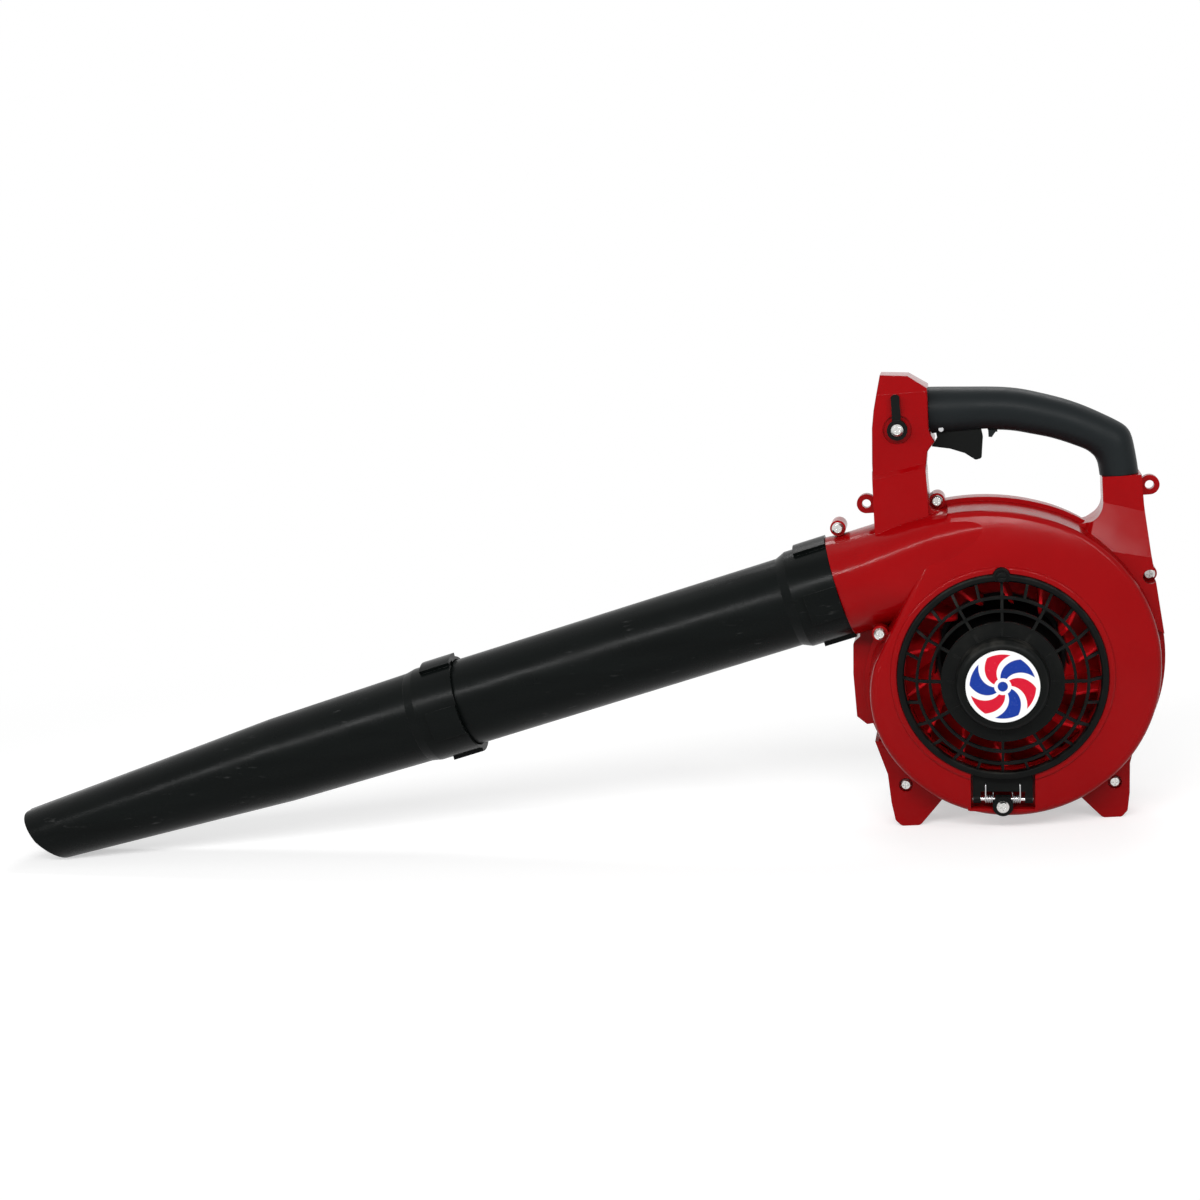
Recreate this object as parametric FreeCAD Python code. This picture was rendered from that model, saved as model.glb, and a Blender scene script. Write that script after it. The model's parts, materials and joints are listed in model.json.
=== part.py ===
import FreeCAD, Part
import math
import os

from FreeCAD import Placement, Rotation, Vector

# Handheld petrol leaf blower, in millimetres.
# X runs to the right as seen from the intake side, Y runs away from that side and Z is up.
# The origin is on the ground under the fan axis, in the plane where the two housing halves meet.

# Space that holds the housing and the outlet with room to spare
ALL_X = (-400.0, 200.0)
ALL_Z = (0.0, 500.0)
FAR_Y = 100.0

# Fan housing: the scroll is a chain of tangent arcs round the fan
FAN_Z = 128.0
SCROLL_ANGLES = (160.0, 205.0, 255.0, 335.0, 430.0, 464.0)
SCROLL_RADII = (89.6, 112.0, 121.7, 126.0, 175.6)
FIXED_ARC = 3
FIXED_CENTRE = (0.5, FAN_Z + 5.0)
FRONT_LAST_ANGLE = 456.0
FRONT_DRAFT = 4.0
FRONT_DEPTH = 60.0
WALL = 3.0
RIM_WIDTH = 3.0
RIM_DEPTH = 4.0
FACE_EDGE_FILLET = 6.0
FACE_LIP_RADIUS = 88.0
FACE_LIP_Y = -56.0
FACE_MID_RADIUS = 112.0
FACE_MID_Y = -51.8
FACE_OUT_RADIUS = 145.0
FACE_OUT_Y = -39.6
REAR_FACE_Y = 42.0
REAR_WALL = 4.0
REAR_EDGE_FILLET = 6.0

# Intake
LIP_OUTER = 87.6
LIP_INNER = 82.6
LIP_Y = -58.0
LEDGE_Y = -53.7
THROAT_RADIUS = 76.0
THROAT_WALL = 3.0
THROAT_END_Y = -42.0

# Outlet and blower tubes: all lie on one axis that drops to the left
OUTLET_X = -124.6
OUTLET_Z = 199.0
TUBE_DROP = 14.0
OUTLET_RADIUS = 41.6
# Duct between the outlet and the scroll: place along the axis, reach up, down, front and rear, squareness
DUCT_SECTIONS = (
    (-45.0, 40.0, 42.0, 49.5, 41.4, 2.5),
    (-90.0, 38.0, 42.0, 54.0, 41.0, 3.6),
    (-133.0, 26.0, 42.0, 49.0, 41.0, 5.0),
)
DUCT_POINTS = 32
NECK_RADIUS = 37.4
NECK_LENGTH = 34.0
NECK_WALL = 3.0
DUCT_STEP = 0.8
SOCKET_GAP = 0.4
SOCKET_WALL = 2.6
SOCKET_LENGTH = 36.0
TUBE_RADIUS = 37.0
TUBE_WALL = 2.4
TUBE_LENGTH = 366.0
TUBE_START = 0.4
TUBE_LAP = 35.0
NOZZLE_START = TUBE_LENGTH - TUBE_LAP
NOZZLE_RADIUS = 38.8
NOZZLE_WAIST = 36.8
NOZZLE_WAIST_S = NOZZLE_START + 174.0
NOZZLE_TIP_S = NOZZLE_WAIST_S + 250.0
TIP_HALF_HEIGHT = 23.6
TIP_HALF_WIDTH = 33.0
TIP_CUT_S = NOZZLE_TIP_S - 21.4
TIP_CUT_ANGLE = 25.5

# Bayonet catches between the tubes
LUG_COUNT = 4
LUG_S = 16.0
LUG_LENGTH = 6.0
LUG_RISE = 2.2
LUG_ANGLE = 9.0
GROOVE_PLAY_ANGLE = 1.0
GROOVE_PLAY = 0.4
BAYONET_TURN = 16.0
PAD_RISE = 3.2
PAD_LENGTH = 27.0
PAD_EXTRA_ANGLE = 4.0

# Handle pillars
PILLAR_DEPTH = 26.0
PILLAR_STEP = 3.5
LEFT_PILLAR = (
    (-93.4, 238.0), (-92.2, 272.0), (-91.6, 300.0), (-89.8, 328.0), (-87.6, 342.0), (-81.2, 369.0),
    (-59.4, 366.8), (-44.6, 356.4), (-45.4, 323.0), (-41.6, 313.6), (-47.4, 306.4), (-49.8, 290.0),
    (-49.0, 268.0), (-38.0, 255.0), (-38.0, 238.0),
)
LEFT_STEP_TOP = ((-92.2, 290.0), (-49.6, 297.5))
LEFT_STEP_FALL = 3.3
LEFT_STEP_BASE = 240.0
STEP_ROOT = 4.0
LEFT_BEVEL_Z = 354.0
LEFT_BEVEL_DEPTH = 8.0
RIGHT_DEPTH = 17.0
RIGHT_PILLAR = (
    (86.8, 275.4), (117.2, 275.4), (117.8, 252.0), (120.6, 214.0), (123.6, 188.0), (127.6, 150.0),
    (126.0, 118.0), (96.0, 118.0), (52.0, 200.0), (52.0, 236.0), (86.2, 243.0),
)
HAND_CORNER = 16.0
RIGHT_BASE_DEPTH = 30.0
RIGHT_BASE_TOP = ((84.6, 262.0), (118.2, 251.0))
RIGHT_BASE_FALL = 40.0
BASE_ROOT = 3.0

# Feet
FOOT = (
    (105.0, 72.0), (96.6, 44.0), (95.2, 20.0), (92.8, 5.0), (88.0, 0.0), (73.0, 0.0), (65.6, 8.0),
    (57.0, 17.5), (46.0, 30.0), (60.0, 72.0),
)
FOOT_CORNERS = {2: 6.0, 3: 3.0, 4: 4.0, 5: 5.0}
FOOT_DEPTH = 20.0

# Left cheek of the rear housing
CHEEK = (
    (-84.0, 186.0), (-112.6, 172.0), (-112.6, 155.0), (-118.6, 150.5), (-120.4, 124.0), (-119.8, 88.0),
    (-112.0, 81.0), (-84.0, 84.0),
)
CHEEK_FRONT_Y = 5.0
CHEEK_BACK_Y = 48.0
CHEEK_CORNER = 6.0

# Strap eyes
EYE_RADIUS = 7.8
EYE_HOLE = 3.5
EYE_DEPTH = 4.0
EYES = ((-99.4, 265.4), (123.6, 265.4))

# Housing screws: x, z and the Y of the seat under the head
SCREWS = (
    (-123.4, 247.6, -9.0), (-43.0, 264.4, -9.0), (-94.0, 164.5, -38.0), (-82.5, 34.3, -17.0),
    (83.9, 29.1, -17.0), (119.0, 195.9, -12.0),
)
SCREW_HEAD = 4.9
SCREW_HEAD_HEIGHT = 3.2
SCREW_SHANK = 2.5
SCREW_PLAY = 0.05
SCREW_END_Y = 11.0
SCREW_SLOT = 1.2
SCREW_SLOT_DEPTH = 1.4
BOSS_RADIUS = 6.4
BOSS_REAR_Y = 14.0
HEAD_SEAT = 0.1
HEAD_PLAY = 0.7

# Grip: stations from pillar to pillar, each an outer point, an inner point and a half width
GRIP_STATIONS = (
    ((-56.0, 356.2), (-56.0, 317.6), 18.0), ((-34.0, 354.8), (-34.6, 317.4), 17.9),
    ((-9.7, 353.0), (-10.4, 317.9), 17.5), ((18.4, 350.3), (14.5, 316.6), 17.1),
    ((41.0, 344.8), (32.5, 312.6), 17.0), ((64.4, 336.8), (51.5, 307.2), 17.0),
    ((84.0, 327.5), (69.5, 299.7), 17.0), ((98.0, 319.6), (76.8, 295.9), 17.0),
    ((106.8, 313.6), (81.5, 291.6), 17.0), ((111.0, 307.6), (83.6, 288.0), 17.0),
    ((113.0, 299.8), (84.6, 284.6), 16.9), ((114.5, 289.2), (85.2, 280.0), 16.8),
    ((115.7, 278.0), (85.6, 275.0), 16.7), ((116.6, 266.0), (86.4, 264.0), 16.6),
)
GRIP_SECTIONS = 20
GRIP_SECTION_POINTS = 12
GRIP_WALL = 2.8
GRIP_GAP = 0.25
TRIGGER_SLOT_LEFT = -46.0
TRIGGER_SLOT_RIGHT = 0.4
TRIGGER_SLOT_HALF = 7.3
GRIP_HOOK = ((0.8, 321.0), (0.8, 312.4), (3.4, 312.0), (8.0, 318.0), (8.0, 321.0))
GRIP_HOOK_HALF = 4.0

# Throttle trigger
TRIGGER_PIVOT = (-36.0, 322.0)
TRIGGER_PIN_RADIUS = 2.0
TRIGGER_PLAY = 0.05
TRIGGER_BOSS = 5.0
TRIGGER_HALF = 6.4
TRIGGER = (
    (-41.0, 325.5), (-39.6, 314.4), (-44.2, 308.2), (-30.0, 305.4), (-18.6, 301.0), (-10.4, 295.0),
    (-5.6, 296.0), (-3.6, 313.0), (-5.0, 322.0), (-14.0, 328.0),
)
PIN_BOSS_RADIUS = 4.6

# Cruise lever
LEVER_PIVOT = (-69.9, 325.4)
LEVER_BOSS = 8.0
LEVER_ARM = 28.0
LEVER_ARM_WIDTH = 6.8
LEVER_FRONT_Y = -31.5
LEVER_GAP = 0.5
LEVER_RECESS = 11.4
LEVER_RECESS_DEPTH = 1.6

# Stop switch on the back of the left pillar
SWITCH_X = -68.0
SWITCH_Z = 336.0
SWITCH_TRAVEL = 6.0
SWITCH_HALF_WIDTH = 4.0
SWITCH_HALF_HEIGHT = 5.0
SWITCH_STEM = 2.0
SWITCH_HEIGHT = 4.0

# Intake grille, drawn upright and turned by the tilt of its hinge line
GRILLE_TILT = 3.0
GRILLE_RIM_OUTER = 82.0
GRILLE_RIM_INNER = 76.6
GRILLE_RIM_BACK_Y = -54.0
GRILLE_RIM_FRONT_Y = -61.2
GRILLE_RINGS = ((66.1, -71.6), (56.0, -73.4), (46.5, -75.0))
RING_WIDTH = 2.2
RING_DEPTH = 4.4
RIB_WIDTH = 2.2
LONG_RIBS = 12
HUB_RADIUS = 36.0
HUB_FLAT = 29.6
HUB_FRONT_Y = -92.0
HUB_SHOULDER_Y = -85.5
HUB_SKIRT_Y = -78.0
HUB_WALL = 2.4
MEDALLION_RADIUS = 28.4
MEDALLION_THICK = 1.2

# Grille hinge at the bottom of the intake
HINGE_DROP = 101.0
HINGE_Y = -50.0
HINGE_PIN_RADIUS = 1.6
HINGE_PIN_HALF = 23.6
HINGE_PLAY = 0.06
NOTCH_HALF = 25.2
NOTCH_BOTTOM = 108.6
NOTCH_TOP = 71.0
NOTCH_FLOOR_Y = -42.4
NOTCH_WALL = 2.4
HINGE_PLATE_HALF = 23.4
HINGE_PLATE_FRONT_Y = -52.1
HINGE_PLATE_BACK_Y = -48.8
HINGE_KNUCKLE = 3.5
KNUCKLE_INNER_X = 17.4
BRACKET_HALF = 6.2
BRACKET_KNUCKLE = 3.3
BRACKET_FRONT_Y = -55.0
BRACKET_BACK_Y = -51.2
EAR_DROP = 106.0
EAR_RADIUS = 8.0
SPRING_WIRE = 0.55
SPRING_COIL = 3.0
SPRING_TURNS = 3
SPRING_PITCH = 1.7
SPRING_START_X = 7.6
SPRING_FOOT = 5.0
SPRING_LEG = 13.0

# Grille catch at the top of the intake
CATCH_RISE = 80.5
CATCH_KNOB = 4.2
CATCH_SHAFT = 2.2
CATCH_HOLE = 2.7
CATCH_EAR = 6.4
CATCH_END_Y = -44.0
CATCH_TOP_Y = -64.6

# Fan
FAN_RADIUS = 90.0
FAN_PLATE_Y = 30.0
FAN_PLATE_THICK = 2.6
VANE_COUNT = 14
VANE_INNER = 52.0
VANE_FRONT_Y = -37.0
VANE_THICK = 2.4
VANE_LEAN = 34.0
CONE_RADIUS = 49.0
CONE_NOSE = 15.0
CONE_NOSE_Y = -24.0
FAN_BORE_PLAY = 0.04

# Crank train, along the fan axis
SHAFT_RADIUS = 6.0
SHAFT_FRONT_Y = -34.0
SHAFT_REAR_Y = 145.5
CYL_Y = 78.0
CRANK_THROW = 14.0
CRANKPIN_RADIUS = 5.0
WEB_RADIUS = 24.0
WEB_GAP = 7.0
WEB_THICK = 9.0
ROD_LENGTH = 44.0
BEARING_OUTER = 16.0
BEARING_WIDTH = 10.0
BEARING_PLAY = 0.02
SEAL_OUTER = 11.0
SEAL_WIDTH = 5.0
SEAL_SETBACK = 1.5
NUT_RADIUS = 9.0
NUT_HEIGHT = 8.0

# Crankcase
CASE_RADIUS = 36.0
CASE_STEP_RADIUS = 12.0
REAR_SNOUT_RADIUS = 22.0
CHAMBER_RADIUS = 27.0
CHAMBER_HALF = 18.0
CASE_SNOUT_RADIUS = 23.6
CASE_SNOUT_Y = 36.4
CASE_FLANGE_RADIUS = 46.0
CASE_FLANGE_THICK = 5.0
CASE_SEAT_GAP = 0.2
FRONT_BEARING_Y = 46.0
REAR_BEARING_Y = 100.0
CASE_REAR_Y = 118.0
DECK_Z = 158.0
DECK_HALF = 25.0
MOUNT_BOLTS = 4
MOUNT_BOLT_CIRCLE = CASE_FLANGE_RADIUS - 7.0

# Cylinder and piston
BORE_RADIUS = 17.0
PISTON_PLAY = 0.04
PISTON_CROWN = 14.0
PISTON_SKIRT = 14.0
PISTON_PIN_RADIUS = 5.0
RING_OFFSETS = (4.2, 8.2)
BARREL_RADIUS = 21.5
HEAD_Z = 202.0
HEAD_TOP_Z = 209.0
FIN_HALF = 29.0
FIN_THICK = 1.6
FIN_PITCH = 6.0
FIN_COUNT = 7
FIN_START_Z = 169.0
GASKET_THICK = 0.8
PORT_Z = 178.0
PORT_RADIUS = 6.5
PORT_FACE = 33.0
PORT_HALF_Y = 17.0
PORT_HALF_Z = 10.0
PLUG_LIFT = 30.0
PLUG_Y = 92.0

# Muffler
MUFFLER_WIDTH = 50.0
MUFFLER_HALF_Y = 22.5
MUFFLER_LOW_Z = 156.0
MUFFLER_HIGH_Z = 206.0
MUFFLER_WALL = 1.4
SEAM_RISE = 1.2
GUARD_GAP = 4.0
GUARD_WALL = 2.2
GUARD_SLOTS = 6
MUFFLER_BOLTS = ((-12.0, -7.0), (12.0, 7.0))

# Carburettor side
INSULATOR_THICK = 12.0
CARB_LENGTH = 30.0
CARB_HALF_Y = 15.0
CARB_LOW_Z = 162.0
CARB_HIGH_Z = 194.0
CLEANER_BASE_THICK = 5.0
CLEANER_HALF_Y = 25.0
CLEANER_LOW_Z = 150.0
CLEANER_HIGH_Z = 204.0
CLEANER_DEPTH = 28.0
CLEANER_WALL = 2.2
CLEANER_GAP = 0.3
FOAM_THICK = 14.0
CLEANER_KNOB = 9.0
STUD_RADIUS = 2.5
STUD_Z = CLEANER_HIGH_Z - 14.0
CHOKE_ARM = 22.0
CHOKE_OFFSET = 6.0
CHOKE_PIN = 2.0
BULB_RADIUS = 8.4
BULB_TRAVEL = 5.0

# Engine cover
COVER_HALF = 56.0
COVER_FRONT_Y = 45.0
COVER_REAR_Y = 116.0
COVER_LOW_Z = 152.0
COVER_HIGH_Z = 240.0
COVER_WALL = 2.5
COVER_FILLET = 14.0
COVER_SLOTS = 6

# Flywheel and starter
FLYWHEEL_RADIUS = 44.0
FLYWHEEL_Y = 121.0
FLYWHEEL_THICK = 14.0
FLYWHEEL_VANES = 12
CUP_RADIUS = 21.0
CUP_Y = 136.0
CUP_DEPTH = 10.0
CUP_WALL = 2.5
CUP_SLOTS = 6
STARTER_RADIUS = 62.5
STARTER_WALL = 2.5
STARTER_FRONT_Y = 119.4
STARTER_STEP_Y = 143.0
STARTER_SMALL_RADIUS = 45.0
STARTER_BACK_Y = 174.0
STARTER_SLOTS = 8
PULLEY_RADIUS = 37.0
PULLEY_Y = 149.0
PULLEY_WIDTH = 10.0
SPINDLE_RADIUS = 6.0
SPRING_STRIP = 0.6
SPRING_LOOPS = 6
SPRING_CASE_GAP = 0.3
ROPE_RADIUS = 1.75
ROPE_LAP = 32.0
ROPE_START_X = 17.0
POST_CIRCLE = 53.0
POST_RADIUS = 5.4
POST_ANGLES = (145.0, 250.0, 350.0)
POST_ARM_Y = (94.0, 99.0)
COIL_ANGLE = 45.0
PULL_BAR_HALF = 24.0
PULL_BAR_RADIUS = 8.0

# Fuel tank
TANK_HALF = 72.0
TANK_FRONT_Y = 50.0
TANK_REAR_Y = 158.0
TANK_LOW_Z = 12.0
TANK_HIGH_Z = 60.0
TANK_WALL = 2.2
TANK_FILLET = 10.0
CAP_Y = 118.0
CAP_Z = 38.0
CAP_RADIUS = 17.0
CAP_DEPTH = 13.0
NECK_TUBE = 13.0
TANK_FOOT_X = 52.0
TANK_FOOT_HALF = 8.0
TANK_FOOT_FRONT_Y = 132.0
TANK_FOOT_REAR_Y = 152.0

# Routes of the cable, the fuel line and the ignition lead, from end to end
CABLE_RADIUS = 1.5
CABLE_PLAY = 1.6
CABLE_ROUTE = (
    (-32.0, 0.0, 331.5), (-58.0, 2.0, 331.5), (-72.0, 9.0, 312.0), (-71.5, 25.0, 288.0),
    (-69.0, 47.0, 262.0), (-64.0, 62.0, 236.0), (-62.0, 68.0, 214.0), (-62.0, 70.0, 196.0),
)
FUEL_LINE_RADIUS = 2.0
FUEL_ROUTES = (
    (
        (-52.0, 68.0, 50.0), (-52.0, 68.0, 84.0), (-58.0, 68.0, 112.0), (-62.0, 70.0, 138.0),
        (-62.0, 70.0, 161.8),
    ),
    (
        (-52.0, 80.0, 50.0), (-52.0, 80.0, 84.0), (-56.0, 81.0, 112.0), (-60.0, 84.0, 138.0),
        (-60.0, 84.0, 161.8),
    ),
)
LEAD_RADIUS = 2.5
LEAD_ROUTE = (
    (31.6, 128.0, 174.8), (42.4, 128.0, 190.8), (42.0, 130.0, 214.0), (27.0, 133.6, 227.6),
    (8.4, 133.6, 227.6),
)


def polygon(points):
    """Face bounded by straight lines through the points."""
    return Part.Face(Part.makePolygon(list(points) + [points[0]]))


def rounded_wire(points, radii):
    """Closed wire through corner points, with an arc of its own radius at each corner."""
    edges = []
    joints = []
    count = len(points)
    for index, corner in enumerate(points):
        back = (points[index - 1] - corner).normalize()
        ahead = (points[(index + 1) % count] - corner).normalize()
        half = back.getAngle(ahead) / 2
        radius = radii[index]
        setback = radius / math.tan(half)
        start = corner + back * setback
        end = corner + ahead * setback
        if radius > 0:
            middle = corner + (back + ahead).normalize() * (radius / math.sin(half) - radius)
            edges.append(Part.Arc(start, middle, end).toShape())
        joints.append((start, end))
    for index in range(count):
        edges.append(Part.makeLine(joints[index][1], joints[(index + 1) % count][0]))
    return Part.Wire(Part.__sortEdges__(edges))


def plate(points, y_from, y_to, radius=0.0, special=None):
    """Plate with an outline of (x, z) corners, from one Y to another; special gives own radii by index."""
    corners = [Vector(x, y_from, z) for x, z in points]
    radii = [radius] * len(corners)
    for index, value in (special or {}).items():
        radii[index] = value
    face = Part.Face(rounded_wire(corners, radii))
    return face.extrude(Vector(0, y_to - y_from, 0))


def block(x, y, z):
    """Box between two values on each axis."""
    low = Vector(min(x), min(y), min(z))
    high = Vector(max(x), max(y), max(z))
    size = high - low
    return Part.makeBox(size.x, size.y, size.z, low)


def rod(radius, start, end):
    """Round bar between two points."""
    start = Vector(*start)
    axis = Vector(*end) - start
    return Part.makeCylinder(radius, axis.Length, start, axis)


def turned(profile, centre=(0.0, FAN_Z)):
    """Solid of revolution about an axis along Y, from a profile of (radius, y) corners."""
    x, z = centre
    face = polygon([Vector(x + radius, y, z) for radius, y in profile])
    return face.revolve(Vector(x, 0, z), Vector(0, 1, 0), 360)


def washer(outer, inner, y_from, y_to, centre=(0.0, FAN_Z)):
    """Ring about an axis along Y."""
    return turned(((inner, y_from), (outer, y_from), (outer, y_to), (inner, y_to)), centre)


def disc(radius, y_from, y_to, centre=(0.0, FAN_Z)):
    """Round plate about an axis along Y."""
    return rod(radius, (centre[0], y_from, centre[1]), (centre[0], y_to, centre[1]))


def about_fan(angle, radius):
    """Point in the XZ plane at an angle and a distance from the fan axis."""
    turn = math.radians(angle)
    return radius * math.cos(turn), FAN_Z + radius * math.sin(turn)


def spun(shape, angle):
    """Copy of a shape turned about the fan axis, anticlockwise as seen from the intake side."""
    copy = shape.copy()
    copy.rotate(Vector(0, 0, FAN_Z), Vector(0, -1, 0), angle)
    return copy


def mirrored(shape, side):
    """The shape itself for the front half, or its mirror image in Y for the rear half."""
    if side < 0:
        return shape
    return shape.mirror(Vector(0, 0, 0), Vector(0, 1, 0))


def joined(shapes):
    """One solid from several that overlap."""
    return shapes[0].fuse(shapes[1:]).removeSplitter()


def edges_where(shape, test):
    """Edges whose two ends and middle all pass a test on the point."""
    found = []
    for edge in shape.Edges:
        low, high = edge.ParameterRange
        points = [edge.valueAt(low), edge.valueAt((low + high) / 2), edge.valueAt(high)]
        if all(test(point) for point in points):
            found.append(edge)
    return found


def arc_by_angle(centre, radius, start, end, y):
    """Arc in a plane across Y, about a centre (x, z)."""
    points = []
    for angle in (start, (start + end) / 2, end):
        turn = math.radians(angle)
        points.append(Vector(centre[0] + radius * math.cos(turn), y, centre[1] + radius * math.sin(turn)))
    return Part.Arc(*points).toShape()


def scroll_centres():
    """Centres of the scroll's arcs: neighbours share the normal at their joint."""
    centres = {FIXED_ARC: FIXED_CENTRE}
    for index in range(FIXED_ARC - 1, -1, -1):
        centres[index] = shifted_centre(centres[index + 1], index + 1, index, SCROLL_ANGLES[index + 1])
    for index in range(FIXED_ARC + 1, len(SCROLL_RADII)):
        centres[index] = shifted_centre(centres[index - 1], index - 1, index, SCROLL_ANGLES[index])
    return [centres[index] for index in range(len(SCROLL_RADII))]


def shifted_centre(known, known_index, index, angle):
    """Centre of an arc that meets a known arc at an angle without a kink."""
    step = SCROLL_RADII[known_index] - SCROLL_RADII[index]
    turn = math.radians(angle)
    return known[0] + step * math.cos(turn), known[1] + step * math.sin(turn)


def scroll_outline(y, inset, last=SCROLL_ANGLES[-1]):
    """Closed outline of the scroll in a plane across Y, drawn in by an inset and ended at a last angle."""
    edges = []
    for index, centre in enumerate(scroll_centres()):
        radius = SCROLL_RADII[index] - inset
        stop = min(SCROLL_ANGLES[index + 1], last)
        edges.append(arc_by_angle(centre, radius, SCROLL_ANGLES[index], stop, y))
    start = edges[0].valueAt(edges[0].FirstParameter)
    end = edges[-1].valueAt(edges[-1].LastParameter)
    edges.append(Part.makeLine(end, start))
    return Part.Wire(edges)


def scroll(y_from, y_to, inset):
    """Prism of the scroll's outline, drawn in by an inset."""
    return Part.Face(scroll_outline(y_from, inset)).extrude(Vector(0, y_to - y_from, 0))


def front_scroll(y_from, inset):
    """Front half of the scroll, which narrows towards its face, drawn in by an inset."""
    wires = []
    for y in (y_from, -FRONT_DEPTH):
        drawn_in = inset - FRONT_DRAFT * y / FRONT_DEPTH
        wires.append(scroll_outline(y, drawn_in, FRONT_LAST_ANGLE))
    return Part.makeLoft(wires, True, True)


def dish(depth):
    """Solid under the crowned front face, lowered by a depth."""
    base = Vector(0, 0, FAN_Z)
    corners = [
        base + Vector(0, 1, 0),
        base + Vector(FACE_OUT_RADIUS, 1, 0),
        base + Vector(FACE_OUT_RADIUS, FACE_OUT_Y + depth, 0),
        base + Vector(FACE_LIP_RADIUS, FACE_LIP_Y + depth, 0),
        base + Vector(0, FACE_LIP_Y + depth, 0),
    ]
    middle = base + Vector(FACE_MID_RADIUS, FACE_MID_Y + depth, 0)
    edges = [
        Part.makeLine(corners[0], corners[1]),
        Part.makeLine(corners[1], corners[2]),
        Part.Arc(corners[2], middle, corners[3]).toShape(),
        Part.makeLine(corners[3], corners[4]),
        Part.makeLine(corners[4], corners[0]),
    ]
    return Part.Face(Part.Wire(edges)).revolve(base, Vector(0, 1, 0), 360)


def tube_frame():
    """Placement that puts local Z along the tubes, local X up across them and local Y along Y."""
    drop = math.radians(TUBE_DROP)
    along = Vector(-math.cos(drop), 0, -math.sin(drop))
    across = Vector(-math.sin(drop), 0, math.cos(drop))
    return Placement(Vector(OUTLET_X, 0, OUTLET_Z), Rotation(across, Vector(0, 1, 0), along, "XYZ"))


def on_tube_axis(shape):
    """Put a shape drawn along local Z onto the axis of the tubes."""
    copy = shape.copy()
    copy.Placement = tube_frame().multiply(copy.Placement)
    return copy


def pipe_piece(outer, inner, start, end):
    """Straight pipe along local Z."""
    tube = Part.makeCylinder(outer, end - start, Vector(0, 0, start))
    return tube.cut(Part.makeCylinder(inner, end - start, Vector(0, 0, start)))


def sector(outer, inner, start, end, middle, half):
    """Part of a ring along local Z, between two angles about a middle one."""
    ring = Part.makeCylinder(outer, end - start, Vector(0, 0, start), Vector(0, 0, 1), 2 * half)
    if inner > 0:
        ring = ring.cut(Part.makeCylinder(inner, end - start, Vector(0, 0, start)))
    ring.rotate(Vector(0, 0, 0), Vector(0, 0, 1), middle - half)
    return ring


def duct_solid(inset, radius):
    """Outlet duct: round at the outlet and squarer towards the scroll."""
    sections = [(0.0, radius, radius, radius, radius, 2.0)]
    for place, top, low, front, rear, power in DUCT_SECTIONS:
        sections.append((place, top - inset, low - inset, front - inset, rear - inset, power))
    wires = []
    for place, top, low, front, rear, power in sections:
        points = []
        for index in range(DUCT_POINTS):
            turn = 2 * math.pi * index / DUCT_POINTS
            up, back = math.cos(turn), math.sin(turn)
            across = top if up > 0 else low
            deep = rear if back > 0 else front
            reach = (abs(up / across) ** power + abs(back / deep) ** power) ** (-1 / power)
            points.append(Vector(reach * up, reach * back, place))
        wires.append(Part.Wire(smooth_curve(points, True).toShape()))
    return Part.makeLoft(wires, True, False)


def outlet_lugs():
    """Bayonet lugs of a neck, about the tube axis."""
    lugs = []
    end = LUG_S + LUG_LENGTH
    for index in range(LUG_COUNT):
        middle = index * 360 / LUG_COUNT
        lugs.append(sector(NECK_RADIUS + LUG_RISE, NECK_RADIUS - 1, LUG_S, end, middle, LUG_ANGLE / 2))
    return lugs


def left_pillar():
    """Front half of the left handle pillar, with its top bevel and its step."""
    body = plate(LEFT_PILLAR, 0.0, -PILLAR_DEPTH)
    low, high = LEFT_BEVEL_Z, LEFT_PILLAR[5][1] + 1
    depth = LEFT_BEVEL_DEPTH * (high - low) / (LEFT_PILLAR[5][1] - low)
    wedge = polygon([
        Vector(-100, -PILLAR_DEPTH, low), Vector(-100, -PILLAR_DEPTH + depth, high),
        Vector(-100, -PILLAR_DEPTH - 1, high), Vector(-100, -PILLAR_DEPTH - 1, low),
    ]).extrude(Vector(70, 0, 0))
    body = body.cut(wedge)
    front = edges_where(body, lambda p: p.y < -PILLAR_DEPTH + LEFT_BEVEL_DEPTH + 0.5 and p.z > 250)
    body = body.makeFillet(1.6, front)
    (x0, z0), (x1, z1) = LEFT_STEP_TOP
    lower = LEFT_STEP_FALL
    wires = []
    for y, shift in ((-PILLAR_DEPTH + STEP_ROOT, lower), (-PILLAR_DEPTH - PILLAR_STEP, -lower)):
        loop = [Vector(x0, y, z0 + shift), Vector(x1, y, z1 + shift)]
        loop += [Vector(x1, y, LEFT_STEP_BASE), Vector(x0 - 1.0, y, LEFT_STEP_BASE)]
        wires.append(Part.makePolygon(loop + [loop[0]]))
    step = Part.makeLoft(wires, True, True)
    return body.fuse(step)


def right_pillar():
    """Front half of the right handle pillar, flared towards the scroll."""
    body = plate(RIGHT_PILLAR, 0.0, -RIGHT_DEPTH, 0.0, {10: HAND_CORNER})
    (x0, z0), (x1, z1) = RIGHT_BASE_TOP
    fall = RIGHT_BASE_FALL
    side_low, inner_low = RIGHT_PILLAR[5], RIGHT_PILLAR[8]
    tops = (
        (-RIGHT_DEPTH + BASE_ROOT, (x0, z0 + BASE_ROOT), (x1, z1 + BASE_ROOT)),
        (-RIGHT_BASE_DEPTH, (x0 - 12, z0 - fall), (x1 + 3, z1 - fall)),
    )
    wires = []
    for y, inner_top, outer_top in tops:
        loop = [Vector(x, y, z) for x, z in (inner_top, outer_top, side_low, inner_low)]
        wires.append(Part.makePolygon(loop + [loop[0]]))
    limit = plate(RIGHT_PILLAR, 0.0, -RIGHT_BASE_DEPTH, 0.0, {10: HAND_CORNER})
    return body.fuse(Part.makeLoft(wires, True, True).common(limit))


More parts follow.
